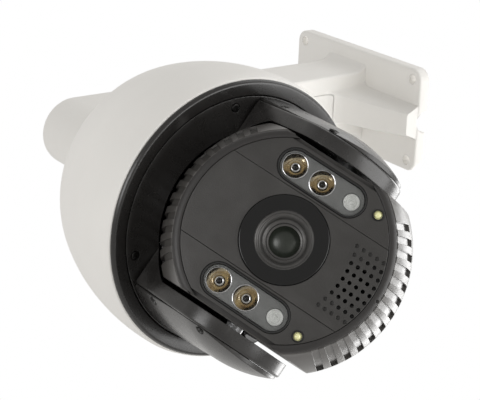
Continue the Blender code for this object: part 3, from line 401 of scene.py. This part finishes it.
def black_satin():
    look = Look("black_satin", (0.018, 0.0168, 0.016), 0.27).mottled(22.0, 0.05)
    # Its paler edges are partly rubbed wear and partly a painted highlight: the thin light line along the rim
    # ring's and the turning table's edges.
    look.worn_and_highlit_edges((0.09, 0.087, 0.084), 0.5).uneven(60.0, 0.24, 0.31)
    look.put("Coat Weight", 0.3)
    look.put("Coat Roughness", 0.24)
    return look.rounded(0.0009).bumpy(0.00003, 2600.0)


def graphite_paint():
    look = Look("graphite_paint", (0.038, 0.036, 0.034), 0.42).mottled(18.0, 0.08)
    look.worn_and_highlit_edges((0.11, 0.108, 0.105), 0.4).uneven(70.0, 0.38, 0.48)
    return look.rounded(0.0006).bumpy(0.00012, 1500.0)


def panel_black():
    look = Look("panel_black", (0.026, 0.024, 0.023), 0.40).mottled(20.0, 0.08)
    look.worn_and_highlit_edges((0.10, 0.098, 0.095), 0.4).uneven(60.0, 0.38, 0.48)
    return look.rounded(0.0010).bumpy(0.00004, 2400.0)


def fin_paint():
    # The fins carry the same black paint as the other head parts. This colour is kept a little lighter as painted
    # light, a lift for the fins that catch the side lamps.
    look = Look("fin_paint", (0.060, 0.056, 0.052), 0.34).mottled(16.0, 0.10)
    look.worn_and_highlit_edges((0.16, 0.155, 0.15), 0.5).uneven(50.0, 0.30, 0.42)
    look.put("Coat Weight", 0.35)
    look.put("Coat Roughness", 0.30)
    return look.rounded(0.0007).bumpy(0.00006, 2200.0)


def rubber_seal():
    look = Look("rubber_seal", (0.010, 0.010, 0.010), 0.6).mottled(60.0, 0.2)
    return look.uneven(90.0, 0.5, 0.7).bumpy(0.00003, 3000.0)


def holder_grey():
    look = Look("holder_grey", (0.25, 0.255, 0.25), 0.38, 0.2).mottled(90.0, 0.12).uneven(150.0, 0.28, 0.45)
    return look.rounded(0.0003).bumpy(0.00004, 1800.0)


def gold_reflector():
    look = Look("gold_reflector", (0.86, 0.70, 0.48), 0.12, 1.0).mottled(160.0, 0.25)
    return look.uneven(260.0, 0.05, 0.14).bumpy(0.00002, 420.0)


def chrome():
    look = Look("chrome", (0.86, 0.86, 0.87), 0.12, 1.0).mottled(120.0, 0.05)
    return look.uneven(200.0, 0.08, 0.2).bumpy(0.00002, 900.0)


def led_white():
    look = Look("led_white", (0.90, 0.92, 0.89), 0.16).mottled(300.0, 0.10).uneven(300.0, 0.10, 0.24)
    look.put("Coat Weight", 0.6)
    return look.bumpy(0.00005, 700.0)


def led_yellow():
    look = Look("led_yellow", (0.96, 0.90, 0.46), 0.18).mottled(400.0, 0.15).uneven(300.0, 0.12, 0.26)
    look.put("Coat Weight", 0.8)
    return look.bumpy(0.00003, 900.0)


def clear_window():
    look = Look("clear_window", (0.030, 0.032, 0.031), 0.05).mottled(30.0, 0.03).uneven(40.0, 0.03, 0.08)
    look.put("Alpha", 0.12)
    return look.bumpy(0.00002, 120.0)


def dark_window():
    look = Look("dark_window", (0.004, 0.004, 0.004), 0.04).mottled(30.0, 0.2).uneven(40.0, 0.03, 0.07)
    return look.bumpy(0.00001, 90.0)


def coated_glass():
    look = Look("coated_glass", (0.014, 0.018, 0.013), 0.32).mottled(60.0, 0.3).uneven(80.0, 0.26, 0.38)
    look.put("Coat Weight", 0.5)
    look.put("Coat Roughness", 0.30)
    look.put("Coat Tint", (0.90, 0.95, 0.85, 1.0))
    return look.bumpy(0.00001, 90.0)


def lens_metal():
    look = Look("lens_metal", (0.10, 0.097, 0.094), 0.34, 0.5).mottled(60.0, 0.15).uneven(90.0, 0.28, 0.4)
    return look.brushed(0.00003, 700.0)


def bare_metal(name, colour, rough):
    look = Look(name, colour, rough, 1.0).mottled(40.0, 0.06).uneven(120.0, rough - 0.06, rough + 0.08)
    return look.brushed(0.00003, 500.0)


def board_green():
    look = Look("circuit_green", (0.015, 0.13, 0.06), 0.42).mottled(260.0, 0.35).uneven(120.0, 0.35, 0.5)
    return look.bumpy(0.00006, 500.0)


def moulded(name, colour, rough):
    look = Look(name, colour, rough).mottled(50.0, 0.08)
    return look.uneven(80.0, rough - 0.05, rough + 0.1).bumpy(0.00003, 1600.0)


LOOKS = {
    "white_paint": white_paint(),
    "black_satin": black_satin(),
    "graphite_paint": graphite_paint(),
    "panel_black": panel_black(),
    "fin_paint": fin_paint(),
    "rubber_seal": rubber_seal(),
    "holder_grey": holder_grey(),
    "gold_reflector": gold_reflector(),
    "chrome": chrome(),
    "led_white": led_white(),
    "led_yellow": led_yellow(),
    "clear_window": clear_window(),
    "dark_window": dark_window(),
    "lens_glass": coated_glass(),
    "lens_metal": lens_metal(),
    "aluminium": bare_metal("aluminium", (0.62, 0.63, 0.65), 0.34),
    "steel": bare_metal("steel", (0.52, 0.52, 0.53), 0.26),
    "motor_steel": bare_metal("motor_steel", (0.28, 0.28, 0.29), 0.36),
    "screw_black": bare_metal("screw_black", (0.045, 0.044, 0.043), 0.32),
    "belt_rubber": moulded("belt_rubber", (0.018, 0.018, 0.018), 0.75),
    "plastic_white": moulded("plastic_white", (0.70, 0.70, 0.67), 0.48),
    "circuit_green": board_green(),
}
LOOKS = {name: look.material for name, look in LOOKS.items()}


def dress_cad_nodes():
    """Every CAD node takes the procedural material of its slot."""
    for name, node in frame["nodes"].items():
        for slot in node.material_slots:
            slot.material = LOOKS[SLOT_OF[name]]
        node.data.shade_smooth()
        node.data.set_sharp_from_angle(angle=math.radians(32))


# ---------------------------------------------------------------- bracket
def arm_plan(by):
    """The arm from above: its root flares at the plate and its end is a half round."""
    half = ARM_HALF - by
    end = arc((0, PAN_Y), half, 180, 360, 65)
    root = [(half + flare, y) for y, flare in ARM_ROOT] + [(half + ROOT_FLARE, RIB_BACK_Y)]
    return end + root + [(-x, y) for x, y in reversed(root)]


def arm_body():
    turn = [math.radians(a) for a in (0, 22.5, 45, 67.5, 90)]
    low, high = ARM_LOW_EDGE, ARM_HIGH_EDGE
    levels = [(ARM_LOW + low * (1 - math.cos(a)), low * (1 - math.sin(a))) for a in turn]
    levels += [(ARM_HIGH - high + high * math.sin(a), high * (1 - math.cos(a))) for a in turn]
    return loft([[(x, y, z) for x, y in arm_plan(by)] for z, by in levels])


def gusset():
    """The rib under the arm, flaring as it blends into the arm's underside."""
    low, high = GUSSET_FRONT
    levels = [(*GUSSET_FOOT, low, GUSSET_BACK)]
    for i in range(13):
        t = i / 12
        angle = math.radians(GUSSET_LEAN + (90 - GUSSET_LEAN) * t)
        y = GUSSET_BLEND[0] + GUSSET_R * math.cos(angle)
        z = GUSSET_BLEND[1] + GUSSET_R * math.sin(angle)
        levels.append((y, z, high + GUSSET_FLARE * t**2, GUSSET_BACK + GUSSET_FLARE * t**2))
    levels.append((levels[-1][0], ARM_LOW + 0.0020, *levels[-1][2:]))
    rings = []
    for y, z, front, back in levels:
        near_back = 0.25 * y + 0.75 * RIB_BACK_Y
        half = [(back, RIB_BACK_Y, z), (back - 0.002, near_back, z), (front, y + 0.0030, z),
                (front - 0.0010, y + 0.0009, z), (front - 0.0030, y, z)]
        rings.append([(-px, py, pz) for px, py, pz in half] + list(reversed(half)))
    return loft(rings)


def hatch_block(low, high, by, top):
    """The hatch's outline, shrunk by a distance, from under the gusset's blend up to a height."""
    w, h = high.x - low.x + 2 * GAP - 2 * by, high.y - low.y + 2 * GAP - 2 * by
    middle = Matrix.Translation(((low.x + high.x) / 2, (low.y + high.y) / 2, 0))
    return prism(rounded_rectangle(w, h, HATCH_CORNER, 5), GUSSET_BLEND[1], top, middle)


def bracket():
    width, height, thick, corner = PLATE
    outline = rounded_rectangle(width, height, corner, 13)
    plate = prism(outline, 0, thick, ALONG_Y.inverted(), edge=PLATE_EDGE)
    body = combined(arm_body(), "UNION", plate, gusset())
    duct_end = PAN_Y - DUCT_PAST_AXIS
    duct = prism(rounded_rectangle(*DUCT, 7), 0, 0.001 - duct_end,
                 Matrix.Translation((0, duct_end, DUCT_Z)) @ ALONG_Y)
    bolts = [rod(HOLE_R, -0.02, 0.01, 48, Matrix.Translation((x, 0, z)) @ ALONG_Y)
             for x in (-HOLE_X, HOLE_X) for z in (-HOLE_Z, HOLE_Z)]
    notch = rod(NOTCH_R, -0.01, NOTCH_HEIGHT, 64, Matrix.Translation((0, 0, -height / 2)))
    neck = rod(NECK_HOLE_R, -0.02, 0.01, 64, Matrix.Translation((0, PAN_Y, 0)))
    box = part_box("access_cover")
    pocket, window = hatch_block(*box, 0, ARM_LOW + HATCH_DEPTH), hatch_block(*box, HATCH_LEDGE, 0.004)
    body = combined(body, "DIFFERENCE", duct, merged(bolts), notch, neck, pocket, window)
    piece("bracket", body, LOOKS["white_paint"], "root", "wall_bracket", angle=24)
    lid = combined(arm_body(), "UNION", gusset())
    lid = combined(lid, "INTERSECT", hatch_block(*box, GAP, ARM_LOW + HATCH_DEPTH - HATCH_SET_BACK))
    piece("hatch_lid", lid, LOOKS["white_paint"], "root", "access_cover", angle=24)


# ---------------------------------------------------------------- cap, ring, table
def side_radius(z):
    return CAP_R - CAP_SIDE + math.sqrt(CAP_SIDE**2 - (z - CAP_R_Z) ** 2)


def cap_profile():
    lean = math.asin((CAP_SHOULDER_Z - CAP_R_Z) / CAP_SIDE)
    r = side_radius(CAP_SHOULDER_Z) - CAP_SHOULDER * math.cos(lean)
    z = CAP_SHOULDER_Z - CAP_SHOULDER * math.sin(lean)
    top = math.degrees(math.acos((CAP_HOLE_R - r) / CAP_SHOULDER))
    lip = arc((RIM_R, CAP_LIP), CAP_LIP, -90, 0, 6)
    heights = [CAP_SIDE_Z + (CAP_SHOULDER_Z - CAP_SIDE_Z) * i / 24 for i in range(24)]
    side = [(side_radius(height), height) for height in heights]
    return lip + side + arc((r, z), CAP_SHOULDER, math.degrees(lean), top, 33)


def cap():
    outer = cap_profile()
    inner = []
    for (ra, za), (rb, zb) in zip(outer[5:], outer[6:]):
        slope = Vector((zb - za, ra - rb)).normalized() * CAP_WALL
        inner.append((ra - slope.x, za - slope.y))
    profile = outer + [(CAP_HOLE_R, outer[-1][1] - CAP_WALL)] + list(reversed(inner))
    profile += [(RIM_R - 0.0018, 0.0)]
    piece("cap", lathe(profile, 160, DOME), LOOKS["white_paint"], "root", "cap_shell")


def ring():
    outer, inner = RIM_R - RING_LAP, RIM_R - 0.0045
    profile = [(RIM_R, -GAP), (outer, -GAP), (outer, RING_TOP), (inner, RING_TOP)]
    profile += [(inner, RING_SEAT), (RING_INNER_R, RING_SEAT)]
    profile += arc((RING_INNER_R + 0.0006, RING_LOW), 0.0006, 180, 262, 5)
    profile += arc((RIM_R - 0.0026, -0.0012), RING_LAP, 262, 340, 9) + [(RIM_R, RING_LOW)]
    piece("rim", lathe(profile, 160, DOME), LOOKS["black_satin"], "root", "rim_ring")


def table_screw_place(side):
    x, y = TABLE_SCREW
    return YOKE @ Matrix.Translation((side * x, y, 0))


def table():
    drop = DROP - DISH_LOW
    edge = math.degrees(math.asin(drop / RECESS_R))
    inside = [(r, z - DROP) for r, z in arc((0, 0), RECESS_R, edge, 90, 28)]
    outside = [(r, z - DROP) for r, z in arc((0, 0), RECESS_R + RECESS_SKIN, 90, 44.5, 24)]
    width = TABLE_R - inside[0][0]
    dished = [(TABLE_R - width * t, -0.0018 - 0.0016 * t + 0.0012 * math.sin(math.pi * t))
              for t in (0.0, 0.15, 0.3, 0.45, 0.6, 0.75, 0.9)]
    profile = [(TABLE_R, TABLE_TOP)] + dished + inside[:-1] + [(0, inside[-1][1]), (0, outside[0][1])]
    profile += outside[1:]
    top = lathe(profile, 160, YOKE)
    slot_wide, slot_long, slot_x = BELT_SLOT
    belt_slot = prism(rectangle(slot_wide, slot_long, (slot_x, 0)), -0.02, 0.02, YOKE)
    hole_r = TABLE_SCREW_R + 0.0006
    holes = [rod(hole_r, -0.01, 0.0008, 40, table_screw_place(side)) for side in (-1, 1)]
    top = combined(top, "DIFFERENCE", belt_slot, merged(holes))
    low, high = MOTOR_SEAT_X
    seat = prism(rectangle(high - low, MOTOR_SEAT_WIDE, ((low + high) / 2, 0)), *MOTOR_SEAT_Z, YOKE)
    piece("turning_table", top, LOOKS["black_satin"], "pan", "turntable")
    piece("motor_seat", seat, LOOKS["black_satin"], "pan")


def socket_screw(name, node, radius, low, high, at, body="pan"):
    """A pan-head screw with a hexagon socket and a rounded edge."""
    eased = 0.0005
    head = [(0, low), (radius, low)] + arc((radius - eased, high - eased), eased, 0, 90, 6) + [(0, high)]
    socket = prism(circle(radius * 0.5, 6), high - 0.0008, high + 1, at)
    shape = combined(lathe(head, 48, at), "DIFFERENCE", socket)
    piece(name, shape, LOOKS["screw_black"], body, node)


def table_screws():
    for side, word in SIDES:
        at = table_screw_place(side) @ Matrix.Rotation(math.pi, 4, "X")
        name = "table_screw_" + word
        socket_screw(name, "turntable_screw_" + word, TABLE_SCREW_R, -0.0002, 0.0018, at)


# ---------------------------------------------------------------- yoke
ARM_TOP_Y = DROP - 0.0037
ARM_FOOT, SHAFT_HOLE_R = 0.0500, 0.0133
COVER_SKIN, COVER_SCREW_R, COVER_HOLE_R = 0.0026, 0.0029, 0.0033


def arm_frame(side):
    """X forwards, Y up from the tilt axis and Z outwards along it."""
    return BALL @ Matrix(((0, 0, side, 0), (-1, 0, 0, 0), (0, 1, 0, 0), (0, 0, 0, 1)))


def recess_room(top, matrix, radius=RECESS_R):
    """The ball's room: a sphere up to a flat at Z = top."""
    edge = math.degrees(math.asin(top / radius))
    return lathe([(0, -0.01), (radius, -0.01)] + arc((0, 0), radius, 0, edge, 25) + [(0, top)], 128, matrix)


def arms():
    for side, word in SIDES:
        at = arm_frame(side)
        arm = prism(arm_outline(ARM_R, ARM_TOP_Y), ARM_FOOT, ARM_BAND, at, edge=ARM_EASE)
        inside = prism(arm_outline(ARM_R - ARM_SKIN, ARM_TOP_Y - ARM_SKIN), ARM_IN + ARM_SKIN, 0.09, at)
        shaft_hole = rod(SHAFT_HOLE_R, 0.06, 0.09, 48, at)
        arm = combined(arm, "DIFFERENCE", recess_room(ARM_IN, at), inside, shaft_hole)
        piece("arm_" + word, arm, LOOKS["black_satin"], "pan", "yoke_arm_" + word)


def yoke_skin(offset):
    radius = COVER_R - offset
    low = [(0, -radius)] + arc((0, 0), radius, -85, 0, 40)
    swell = COVER_TOP_R - COVER_R
    blend = [(COVER_R + swell * math.sin(t) - offset, 0.05 * t) for t in (0.3, 0.6, 0.9, 1.2)]
    return low + blend + [(COVER_TOP_R - offset, 0.08), (0, 0.08)]


def covers():
    for side, word in SIDES:
        at = arm_frame(side)
        low = ARM_BAND + GAP
        cover = prism(arm_outline(ARM_R - ARM_EASE, ARM_TOP_Y), low, 0.099, at)
        cover = combined(cover, "INTERSECT", lathe(yoke_skin(0), 160, BALL))
        hollow = prism(arm_outline(ARM_R - ARM_EASE - ARM_SKIN, ARM_TOP_Y - ARM_SKIN), low - 0.01, 0.096, at)
        hollow = combined(hollow, "INTERSECT", lathe(yoke_skin(COVER_SKIN), 96, BALL))
        spots = [at @ Matrix.Translation((x, y, 0)) for x, y in SCREW_SPOTS]
        holes = [rod(COVER_HOLE_R, low + 0.0008, 0.10, 32, spot) for spot in spots]
        cover = combined(cover, "DIFFERENCE", hollow, merged(holes))
        piece("cover_" + word, cover, LOOKS["black_satin"], "pan", "arm_cover_" + word)
        for spot, level in zip(spots, ("lower", "upper")):
            end = "screw_%s_%s" % (word, level)
            socket_screw("cover_" + end, "arm_" + end, COVER_SCREW_R, low + 0.0011, low + 0.0024, spot)


# ---------------------------------------------------------------- head
def ball_profile(radius, front, steps=40):
    edge = math.degrees(math.asin(front / radius))
    return [(0, -radius)] + arc((0, 0), radius, -87, edge, steps) + [(0, front)]


def fin_slot(turn, back):
    """One cooling slot: its floor leaves the ball at the seam and runs back along the lens axis."""
    section = [(FIN_DEPTH - math.sqrt(BALL_R**2 - back**2), back)]
    section += [(-radius, l) for radius, l in FIN_FLOOR if l > back + 0.004]
    section += [(-FIN_CLEAR, FIN_FLOOR[-1][1]), (-FIN_CLEAR, back)]
    return outward(prism(section, -FIN_WIDE / 2, FIN_WIDE / 2, LENS @ turn @ SIDEWAYS))


def fin_back(across):
    """Where along the lens axis a slot starts. The slots grow longer toward one arm."""
    middle, lean, bend = FIN_BACK
    return middle + lean * across + bend * across**2


def rear_ball():
    ball = lathe(ball_profile(BALL_R, LIP_L), 160, LENS)
    ball = combined(ball, "INTERSECT", prism(rectangle(2 * BALL_FLAT, 0.24), -0.1, LIP_L + 0.01, LENS))
    room = ball_profile(ROOM_R, SEAM_L, 24)
    room[-1:] = [(room[-2][0], SEAM_L + 0.005), (0, SEAM_L + 0.005)]
    slab = prism(rectangle(2 * (BALL_FLAT - FLAT_WALL), 0.24), -0.1, 0.1, LENS)
    ball = combined(ball, "DIFFERENCE", combined(lathe(room, 96, LENS), "INTERSECT", slab))
    slots = []
    for top in (0, 180):
        for index in range(-FINS, FINS + 1):
            turn = Matrix.Rotation(math.radians(top) + index * FIN_PITCH, 4, "Z")
            slots.append(fin_slot(turn, fin_back(-index if top else index)))
    shaft_hole = rod(SHAFT_R, -0.1, 0.1, 48, LENS @ ALONG_X)
    mouth = rod(LIP_R, SEAM_L, LIP_L + 0.005, 160, LENS)
    ball = combined(ball, "DIFFERENCE", merged(slots), shaft_hole, mouth)
    piece("ball_rear", ball, LOOKS["fin_paint"], "head", "head_rear_shell", angle=24)


def front_bezel():
    """The dark front housing, whose bevel rolls from the fins up to the face."""
    inside, low, high = LIP_R - 2 * GAP, LIP_L + GAP, FACE_L - 0.0006
    profile = [(0, SEAM_L + GAP), (inside, SEAM_L + GAP), (inside, low), (SEAM_R - 0.0002, low)]
    edge = FACE_R + BEVEL_EDGE
    for t in (0.1, 0.25, 0.4, 0.55, 0.7, 0.85, 1.0):
        turn = t * math.pi / 2
        profile.append((edge + (SEAM_R - edge) * math.cos(turn), low + (high - low) * math.sin(turn)))
    profile += [(FACE_R, FACE_L - 0.0008), (FACE_R, BEZEL_FOOT_L), (0, BEZEL_FOOT_L)]
    shell = lathe(profile, 160, LENS)
    shell = combined(shell, "INTERSECT", prism(rectangle(2 * (BALL_FLAT - 0.001), 0.24), 0, 0.1, LENS))
    slots = [prism(slot_outline(HOLDER_SLOT_R, s * LED_U), 0.03, 0.05, LENS) for s in (-1, 1)]
    speaker = rod(SPEAKER_HOLE[0], 0.03, 0.05, 48, LENS @ Matrix.Translation((0, SPEAKER_HOLE[1], 0)))
    pin = rod(PIN_HOLE[0], 0.03, 0.06, 24, LENS @ Matrix.Translation((0, PIN_HOLE[1], 0)))
    barrel = rod(BARREL_HOLE_R, 0.03, 0.05, 96, LENS)
    shell = combined(shell, "DIFFERENCE", barrel, merged(slots), speaker, pin)
    piece("bezel", shell, LOOKS["panel_black"], "head", "head_front_shell", angle=24)


def sound_holes():
    """Nine columns of five: the end ones and the corners beside them are only dimples."""
    through, dimples = [], []
    for column in range(-4, 5):
        start = HOLE_TOP + HOLE_RISE * (column / 4) ** 2
        for row in range(5):
            at = LENS @ Matrix.Translation((column * HOLE_SPACING, start - row * HOLE_ROW, 0))
            if abs(column) == 4 or (abs(column) == 3 and row < 2):
                dimples.append(rod(SOUND_R, FACE_L - DIMPLE_DEPTH, 0.06, 20, at))
            else:
                through.append(rod(SOUND_R, 0.03, 0.06, 20, at))
    return merged(through), merged(dimples)


def strobe_place(side):
    x, y = STROBE
    return LENS @ Matrix.Translation((side * x, y, 0))


def face():
    disc = prism(circle(FACE_R - GAP, 160), PANEL_FOOT_L, FACE_L, LENS, edge=PANEL_EASE)
    plate = combined(disc, "INTERSECT", prism(rectangle(2 * (SPLIT_U - GAP), 0.24), 0, 0.1, LENS))
    through, dimples = sound_holes()
    plate = combined(plate, "DIFFERENCE", rod(WINDOW_R + 0.0004, 0.03, 0.06, 128, LENS), through, dimples)
    piece("face_middle", plate, LOOKS["graphite_paint"], "head", "face_plate", angle=24)
    for side, word in SIDES:
        top = FACE_L - PANEL_SET_BACK
        panel = prism(circle(FACE_R - GAP, 160), PANEL_FOOT_L, top, LENS, edge=PANEL_EASE)
        middle = side * (SPLIT_U + PANEL_U) / 2
        band = prism(rectangle(PANEL_U - SPLIT_U, 0.2, (middle, 0)), 0, 0.1, LENS)
        panel = combined(panel, "INTERSECT", band)
        strobe = rod(STROBE_R, 0.03, 0.06, 40, strobe_place(side))
        slot = prism(slot_outline(SLOT_R, side * LED_U), 0.03, 0.06, LENS)
        panel = combined(panel, "DIFFERENCE", slot, strobe)
        piece("face_side_" + word, panel, LOOKS["graphite_paint"], "head", "side_panel_" + word, angle=24)


def led_strip(side, word):
    x = side * LED_U
    levels = [(PANEL_FOOT_L, 0, 0), (FACE_L - 0.0003, 0, 0), (FACE_L + 0.0001, 0.0003, -0.0003)]
    seal = hollow_prism(slot_outline(SEAL_R, x), slot_outline(SEAL_IN_R, x), levels, LENS)
    piece("strip_seal_" + word, seal, LOOKS["rubber_seal"], "head", "led_gasket_" + word)
    pane = prism(slot_outline(PANE_R, x), FACE_L - 0.0012, FACE_L, LENS, edge=0.0003)
    piece("strip_window_" + word, pane, LOOKS["clear_window"], "head", "led_window_" + word)
    holder = prism(slot_outline(PANE_R, x), HOLDER_LOW_L, HOLDER_TOP_L, LENS)
    cups = []
    for y in (LED_TOP, 0.0):
        cone = [(0, CUP_FLOOR_L), (0.0040, CUP_FLOOR_L), (0.0094, HOLDER_TOP_L), (0.0094, 0.06), (0, 0.06)]
        cups.append(lathe(cone, 48, LENS @ Matrix.Translation((x, y, 0))))
    cups.append(rod(0.0061, 0.0415, 0.06, 48, LENS @ Matrix.Translation((x, LED_LOW, 0))))
    holder = combined(holder, "DIFFERENCE", merged(cups))
    piece("strip_holder_" + word, holder, LOOKS["holder_grey"], "head", "led_holder_" + word)
    for y, level in ((LED_TOP, "upper"), (0.0, "middle")):
        infrared_lamp(x, y, "%s_%s" % (word, level))
    white_lamp(x, word)
    strobe_lamp(side, word)


def infrared_lamp(x, y, words):
    """A gold bowl with a bright lip, and a small domed emitter in a bright ring at its base."""
    at = LENS @ Matrix.Translation((x, y, 0))
    mouth, floor = LAMP_MOUTH_L, LAMP_FLOOR_L
    steps = [i / 12 for i in range(13)]
    bowl = [(0.0026 + 0.0060 * math.sqrt(t), floor + (mouth - floor) * t) for t in steps]
    shell = bowl + [(0.0091, mouth), (0.0091, mouth - 0.0008)]
    shell += [(r + 0.0004, z) for r, z in reversed(bowl[:-2])]
    gold = LOOKS["gold_reflector"]
    piece("lamp_bowl_" + words, lathe(shell, 64, at), gold, "head", "ir_reflector_" + words)
    lip = arc((0.0088, mouth), 0.00045, 0, 315, 8)
    piece("lamp_lip_" + words, lathe(lip, 64, at), LOOKS["chrome"], "head")
    collar = arc((0.0027, 0.0402), 0.0006, 0, 315, 8)
    piece("lamp_collar_" + words, lathe(collar, 48, at), LOOKS["chrome"], "head")
    dome = [(0, 0.0385), (0.0024, 0.0385)] + arc((0, 0.0395), 0.0022, 0, 90, 9)
    piece("lamp_emitter_" + words, lathe(dome, 48, at), LOOKS["dark_window"], "head")


def white_lamp(x, word):
    """A clear moulded lens: stepped rings round a small centre dome."""
    at = LENS @ Matrix.Translation((x, LED_LOW, 0))
    top = LAMP_MOUTH_L
    rings = [(0, 0.0420), (0.0058, 0.0420), (0.0058, top - 0.0004), (0.0054, top), (0.0050, top - 0.0001)]
    rings += [(0.0046, top - 0.0010), (0.0036, top - 0.0018), (0.0030, top - 0.0012), (0.0026, top - 0.0018)]
    rings += arc((0, top - 0.0024), 0.0018, 20, 90, 7)
    piece("white_lamp_" + word, lathe(rings, 64, at), LOOKS["led_white"], "head", "white_led_" + word)


def strobe_lamp(side, word):
    at = strobe_place(side)
    sleeve = [(STROBE_SLEEVE_R, PANEL_FOOT_L), (STROBE_SLEEVE_R, FACE_L + 0.0002)]
    sleeve += [(0.0037, FACE_L + 0.0005)]
    sleeve += [(0.0032, FACE_L + 0.0004), (0.0030, FACE_L - 0.0002), (0.0030, PANEL_FOOT_L)]
    piece("strobe_sleeve_" + word, lathe(sleeve, 48, at), LOOKS["rubber_seal"], "head")
    bead = [(0, 0.0448), (STROBE_BEAD_R, 0.0448), (STROBE_BEAD_R, 0.0478)]
    bead += arc((0, 0.0468), 0.0028, 22, 90, 9)
    piece("strobe_bead_" + word, lathe(bead, 48, at), LOOKS["led_yellow"], "head", "strobe_led_" + word)


def lens():
    """The black bezel glass, the stepped barrel behind its clear middle, and the front element."""
    top, edge = GLASS_TOP_L, GLASS_EDGE
    rim = [(GLASS_IN_R, GLASS_LOW_L), (WINDOW_R, GLASS_LOW_L), (WINDOW_R, top - edge)]
    rim += arc((WINDOW_R - edge, top - edge), edge, 10, 90, 6) + [(GLASS_IN_R, top)]
    piece("lens_bezel", lathe(rim, 128, LENS), LOOKS["dark_window"], "head", "lens_window")
    steps = [(0.0198, 0.0465), (0.0190, 0.0460), (0.0186, 0.0450), (0.0180, 0.0446), (0.0172, 0.0446)]
    steps += [(0.0160, 0.0436), (0.0152, 0.0420), (0.0150, 0.0405), (0.0142, 0.0398), (0.0128, 0.0392)]
    steps += [(0.0122, 0.0378), (0.0108, 0.0372)]
    shell = steps + [(0.0108, 0.0366), (0.0205, 0.0366), (0.0205, 0.0465)]
    piece("lens_front_ring", lathe(shell, 128, LENS), LOOKS["lens_metal"], "head")
    bulge = [(0, 0.0362), (0.0107, 0.0362), (0.0107, 0.0375)]
    bulge += [(0.0107 * math.sin(a), 0.0375 + 0.0034 * (math.cos(a) - math.cos(1.2)) / (1 - math.cos(1.2)))
              for a in (1.2, 1.0, 0.8, 0.6, 0.4, 0.2)][1:]
    bulge += [(0, 0.0409)]
    piece("front_element", lathe(bulge, 96, LENS), LOOKS["lens_glass"], "head", "lens_front_element")


# ---------------------------------------------------------------- stage
CAMERA_AT = Vector((0.3778, -0.8578, -1.0026))
CAMERA_FORWARD = Vector((-0.3483, 0.5457, 0.7622))
CAMERA_DOWN = Vector((-0.9367, -0.1724, -0.3047))
CAMERA_LENS_MM = 106.13
ROOM_BRIGHT_SIDE = (-0.60, 0.45, 0.66)
ROOM_RANGE = (-0.75, 0.65, 0.45, 0.80)
FLOOR_Z, FLOOR_SIZE = -2.0, 1.1
LAMPS = (
    ("front", -0.66, 0.10, 0.25, 0.45, 2.7),
    ("side", 0.95, -0.15, 0.70, 0.9, 6.8),
    ("low_rim", 0.66, -0.52, 1.85, 0.5, 2.9),
    ("middle_rim", 0.86, -0.05, 1.80, 0.5, 3.2),
    ("high_rim", 0.50, 0.75, 1.40, 0.8, 1.8),
)


def camera_axes():
    z_axis = -CAMERA_FORWARD.normalized()
    x_axis = (-CAMERA_DOWN).cross(z_axis).normalized()
    return axes_at(x_axis, z_axis, CAMERA_AT)


def camera():
    data = bpy.data.cameras.new("view")
    data.lens = CAMERA_LENS_MM
    data.sensor_width = 36.0
    data.clip_start = 0.05
    made = bpy.data.objects.new("view", data)
    bpy.context.scene.collection.objects.link(made)
    made.matrix_world = camera_axes()
    bpy.context.scene.camera = made


def soft_light(name, across, above, ahead, size, watts):
    """An area light placed as the camera sees it: across and above its axis, and ahead of it, in metres."""
    data = bpy.data.lights.new(name, "AREA")
    data.size = size
    data.energy = watts
    made = bpy.data.objects.new(name, data)
    made.visible_camera = False
    bpy.context.scene.collection.objects.link(made)
    place = camera_axes() @ Vector((across, above, -ahead))
    aim = Vector((0, PAN_Y, DOME.translation.z)) - place
    made.matrix_world = Matrix.Translation(place) @ aim.to_track_quat("-Z", "Y").to_matrix().to_4x4()


def studio():
    """A white room: bright round the object's far side, and dimmer where the viewer stands."""
    world = bpy.data.worlds.new("studio")
    bpy.context.scene.world = world
    world.use_nodes = True
    nodes, links = world.node_tree.nodes, world.node_tree.links
    room = nodes["Background"]
    room.inputs["Color"].default_value = (1.0, 0.985, 0.96, 1.0)
    facing = nodes.new("ShaderNodeVectorMath")
    facing.operation = "DOT_PRODUCT"
    links.new(nodes.new("ShaderNodeTexCoord").outputs["Generated"], facing.inputs[0])
    facing.inputs[1].default_value = ROOM_BRIGHT_SIDE
    spread = nodes.new("ShaderNodeMapRange")
    for socket, value in zip(("From Min", "From Max", "To Min", "To Max"), ROOM_RANGE):
        spread.inputs[socket].default_value = value
    links.new(facing.outputs["Value"], spread.inputs["Value"])
    links.new(spread.outputs["Result"], room.inputs["Strength"])
    backdrop = nodes.new("ShaderNodeBackground")
    backdrop.inputs["Color"].default_value = (1.0, 1.0, 1.0, 1.0)
    chosen = nodes.new("ShaderNodeMixShader")
    links.new(nodes.new("ShaderNodeLightPath").outputs["Is Camera Ray"], chosen.inputs["Fac"])
    links.new(room.outputs["Background"], chosen.inputs[1])
    links.new(backdrop.outputs["Background"], chosen.inputs[2])
    links.new(chosen.outputs["Shader"], nodes["World Output"].inputs["Surface"])
    bpy.context.scene.view_settings.view_transform = "Standard"
    for lamp in LAMPS:
        soft_light(*lamp)


def ground():
    """A pale floor far below, which throws some light back up."""
    bm = bmesh.new()
    at = Matrix.Translation((0, 0, FLOOR_Z))
    bmesh.ops.create_grid(bm, x_segments=8, y_segments=8, size=FLOOR_SIZE, matrix=at)
    mesh = bpy.data.meshes.new("floor")
    bm.to_mesh(mesh)
    bm.free()
    look = Look("floor", (0.86, 0.86, 0.85), 0.8).mottled(0.6, 0.01).bumpy(0.0005, 30.0)
    mesh.materials.append(look.material)
    floor = bpy.data.objects.new("floor", mesh)
    bpy.context.scene.collection.objects.link(floor)


camera()
studio()
ground()
dress_cad_nodes()
bracket()
cap()
ring()
table()
table_screws()
arms()
covers()
rear_ball()
front_bezel()
face()
for strip_side, strip_word in SIDES:
    led_strip(strip_side, strip_word)
lens()
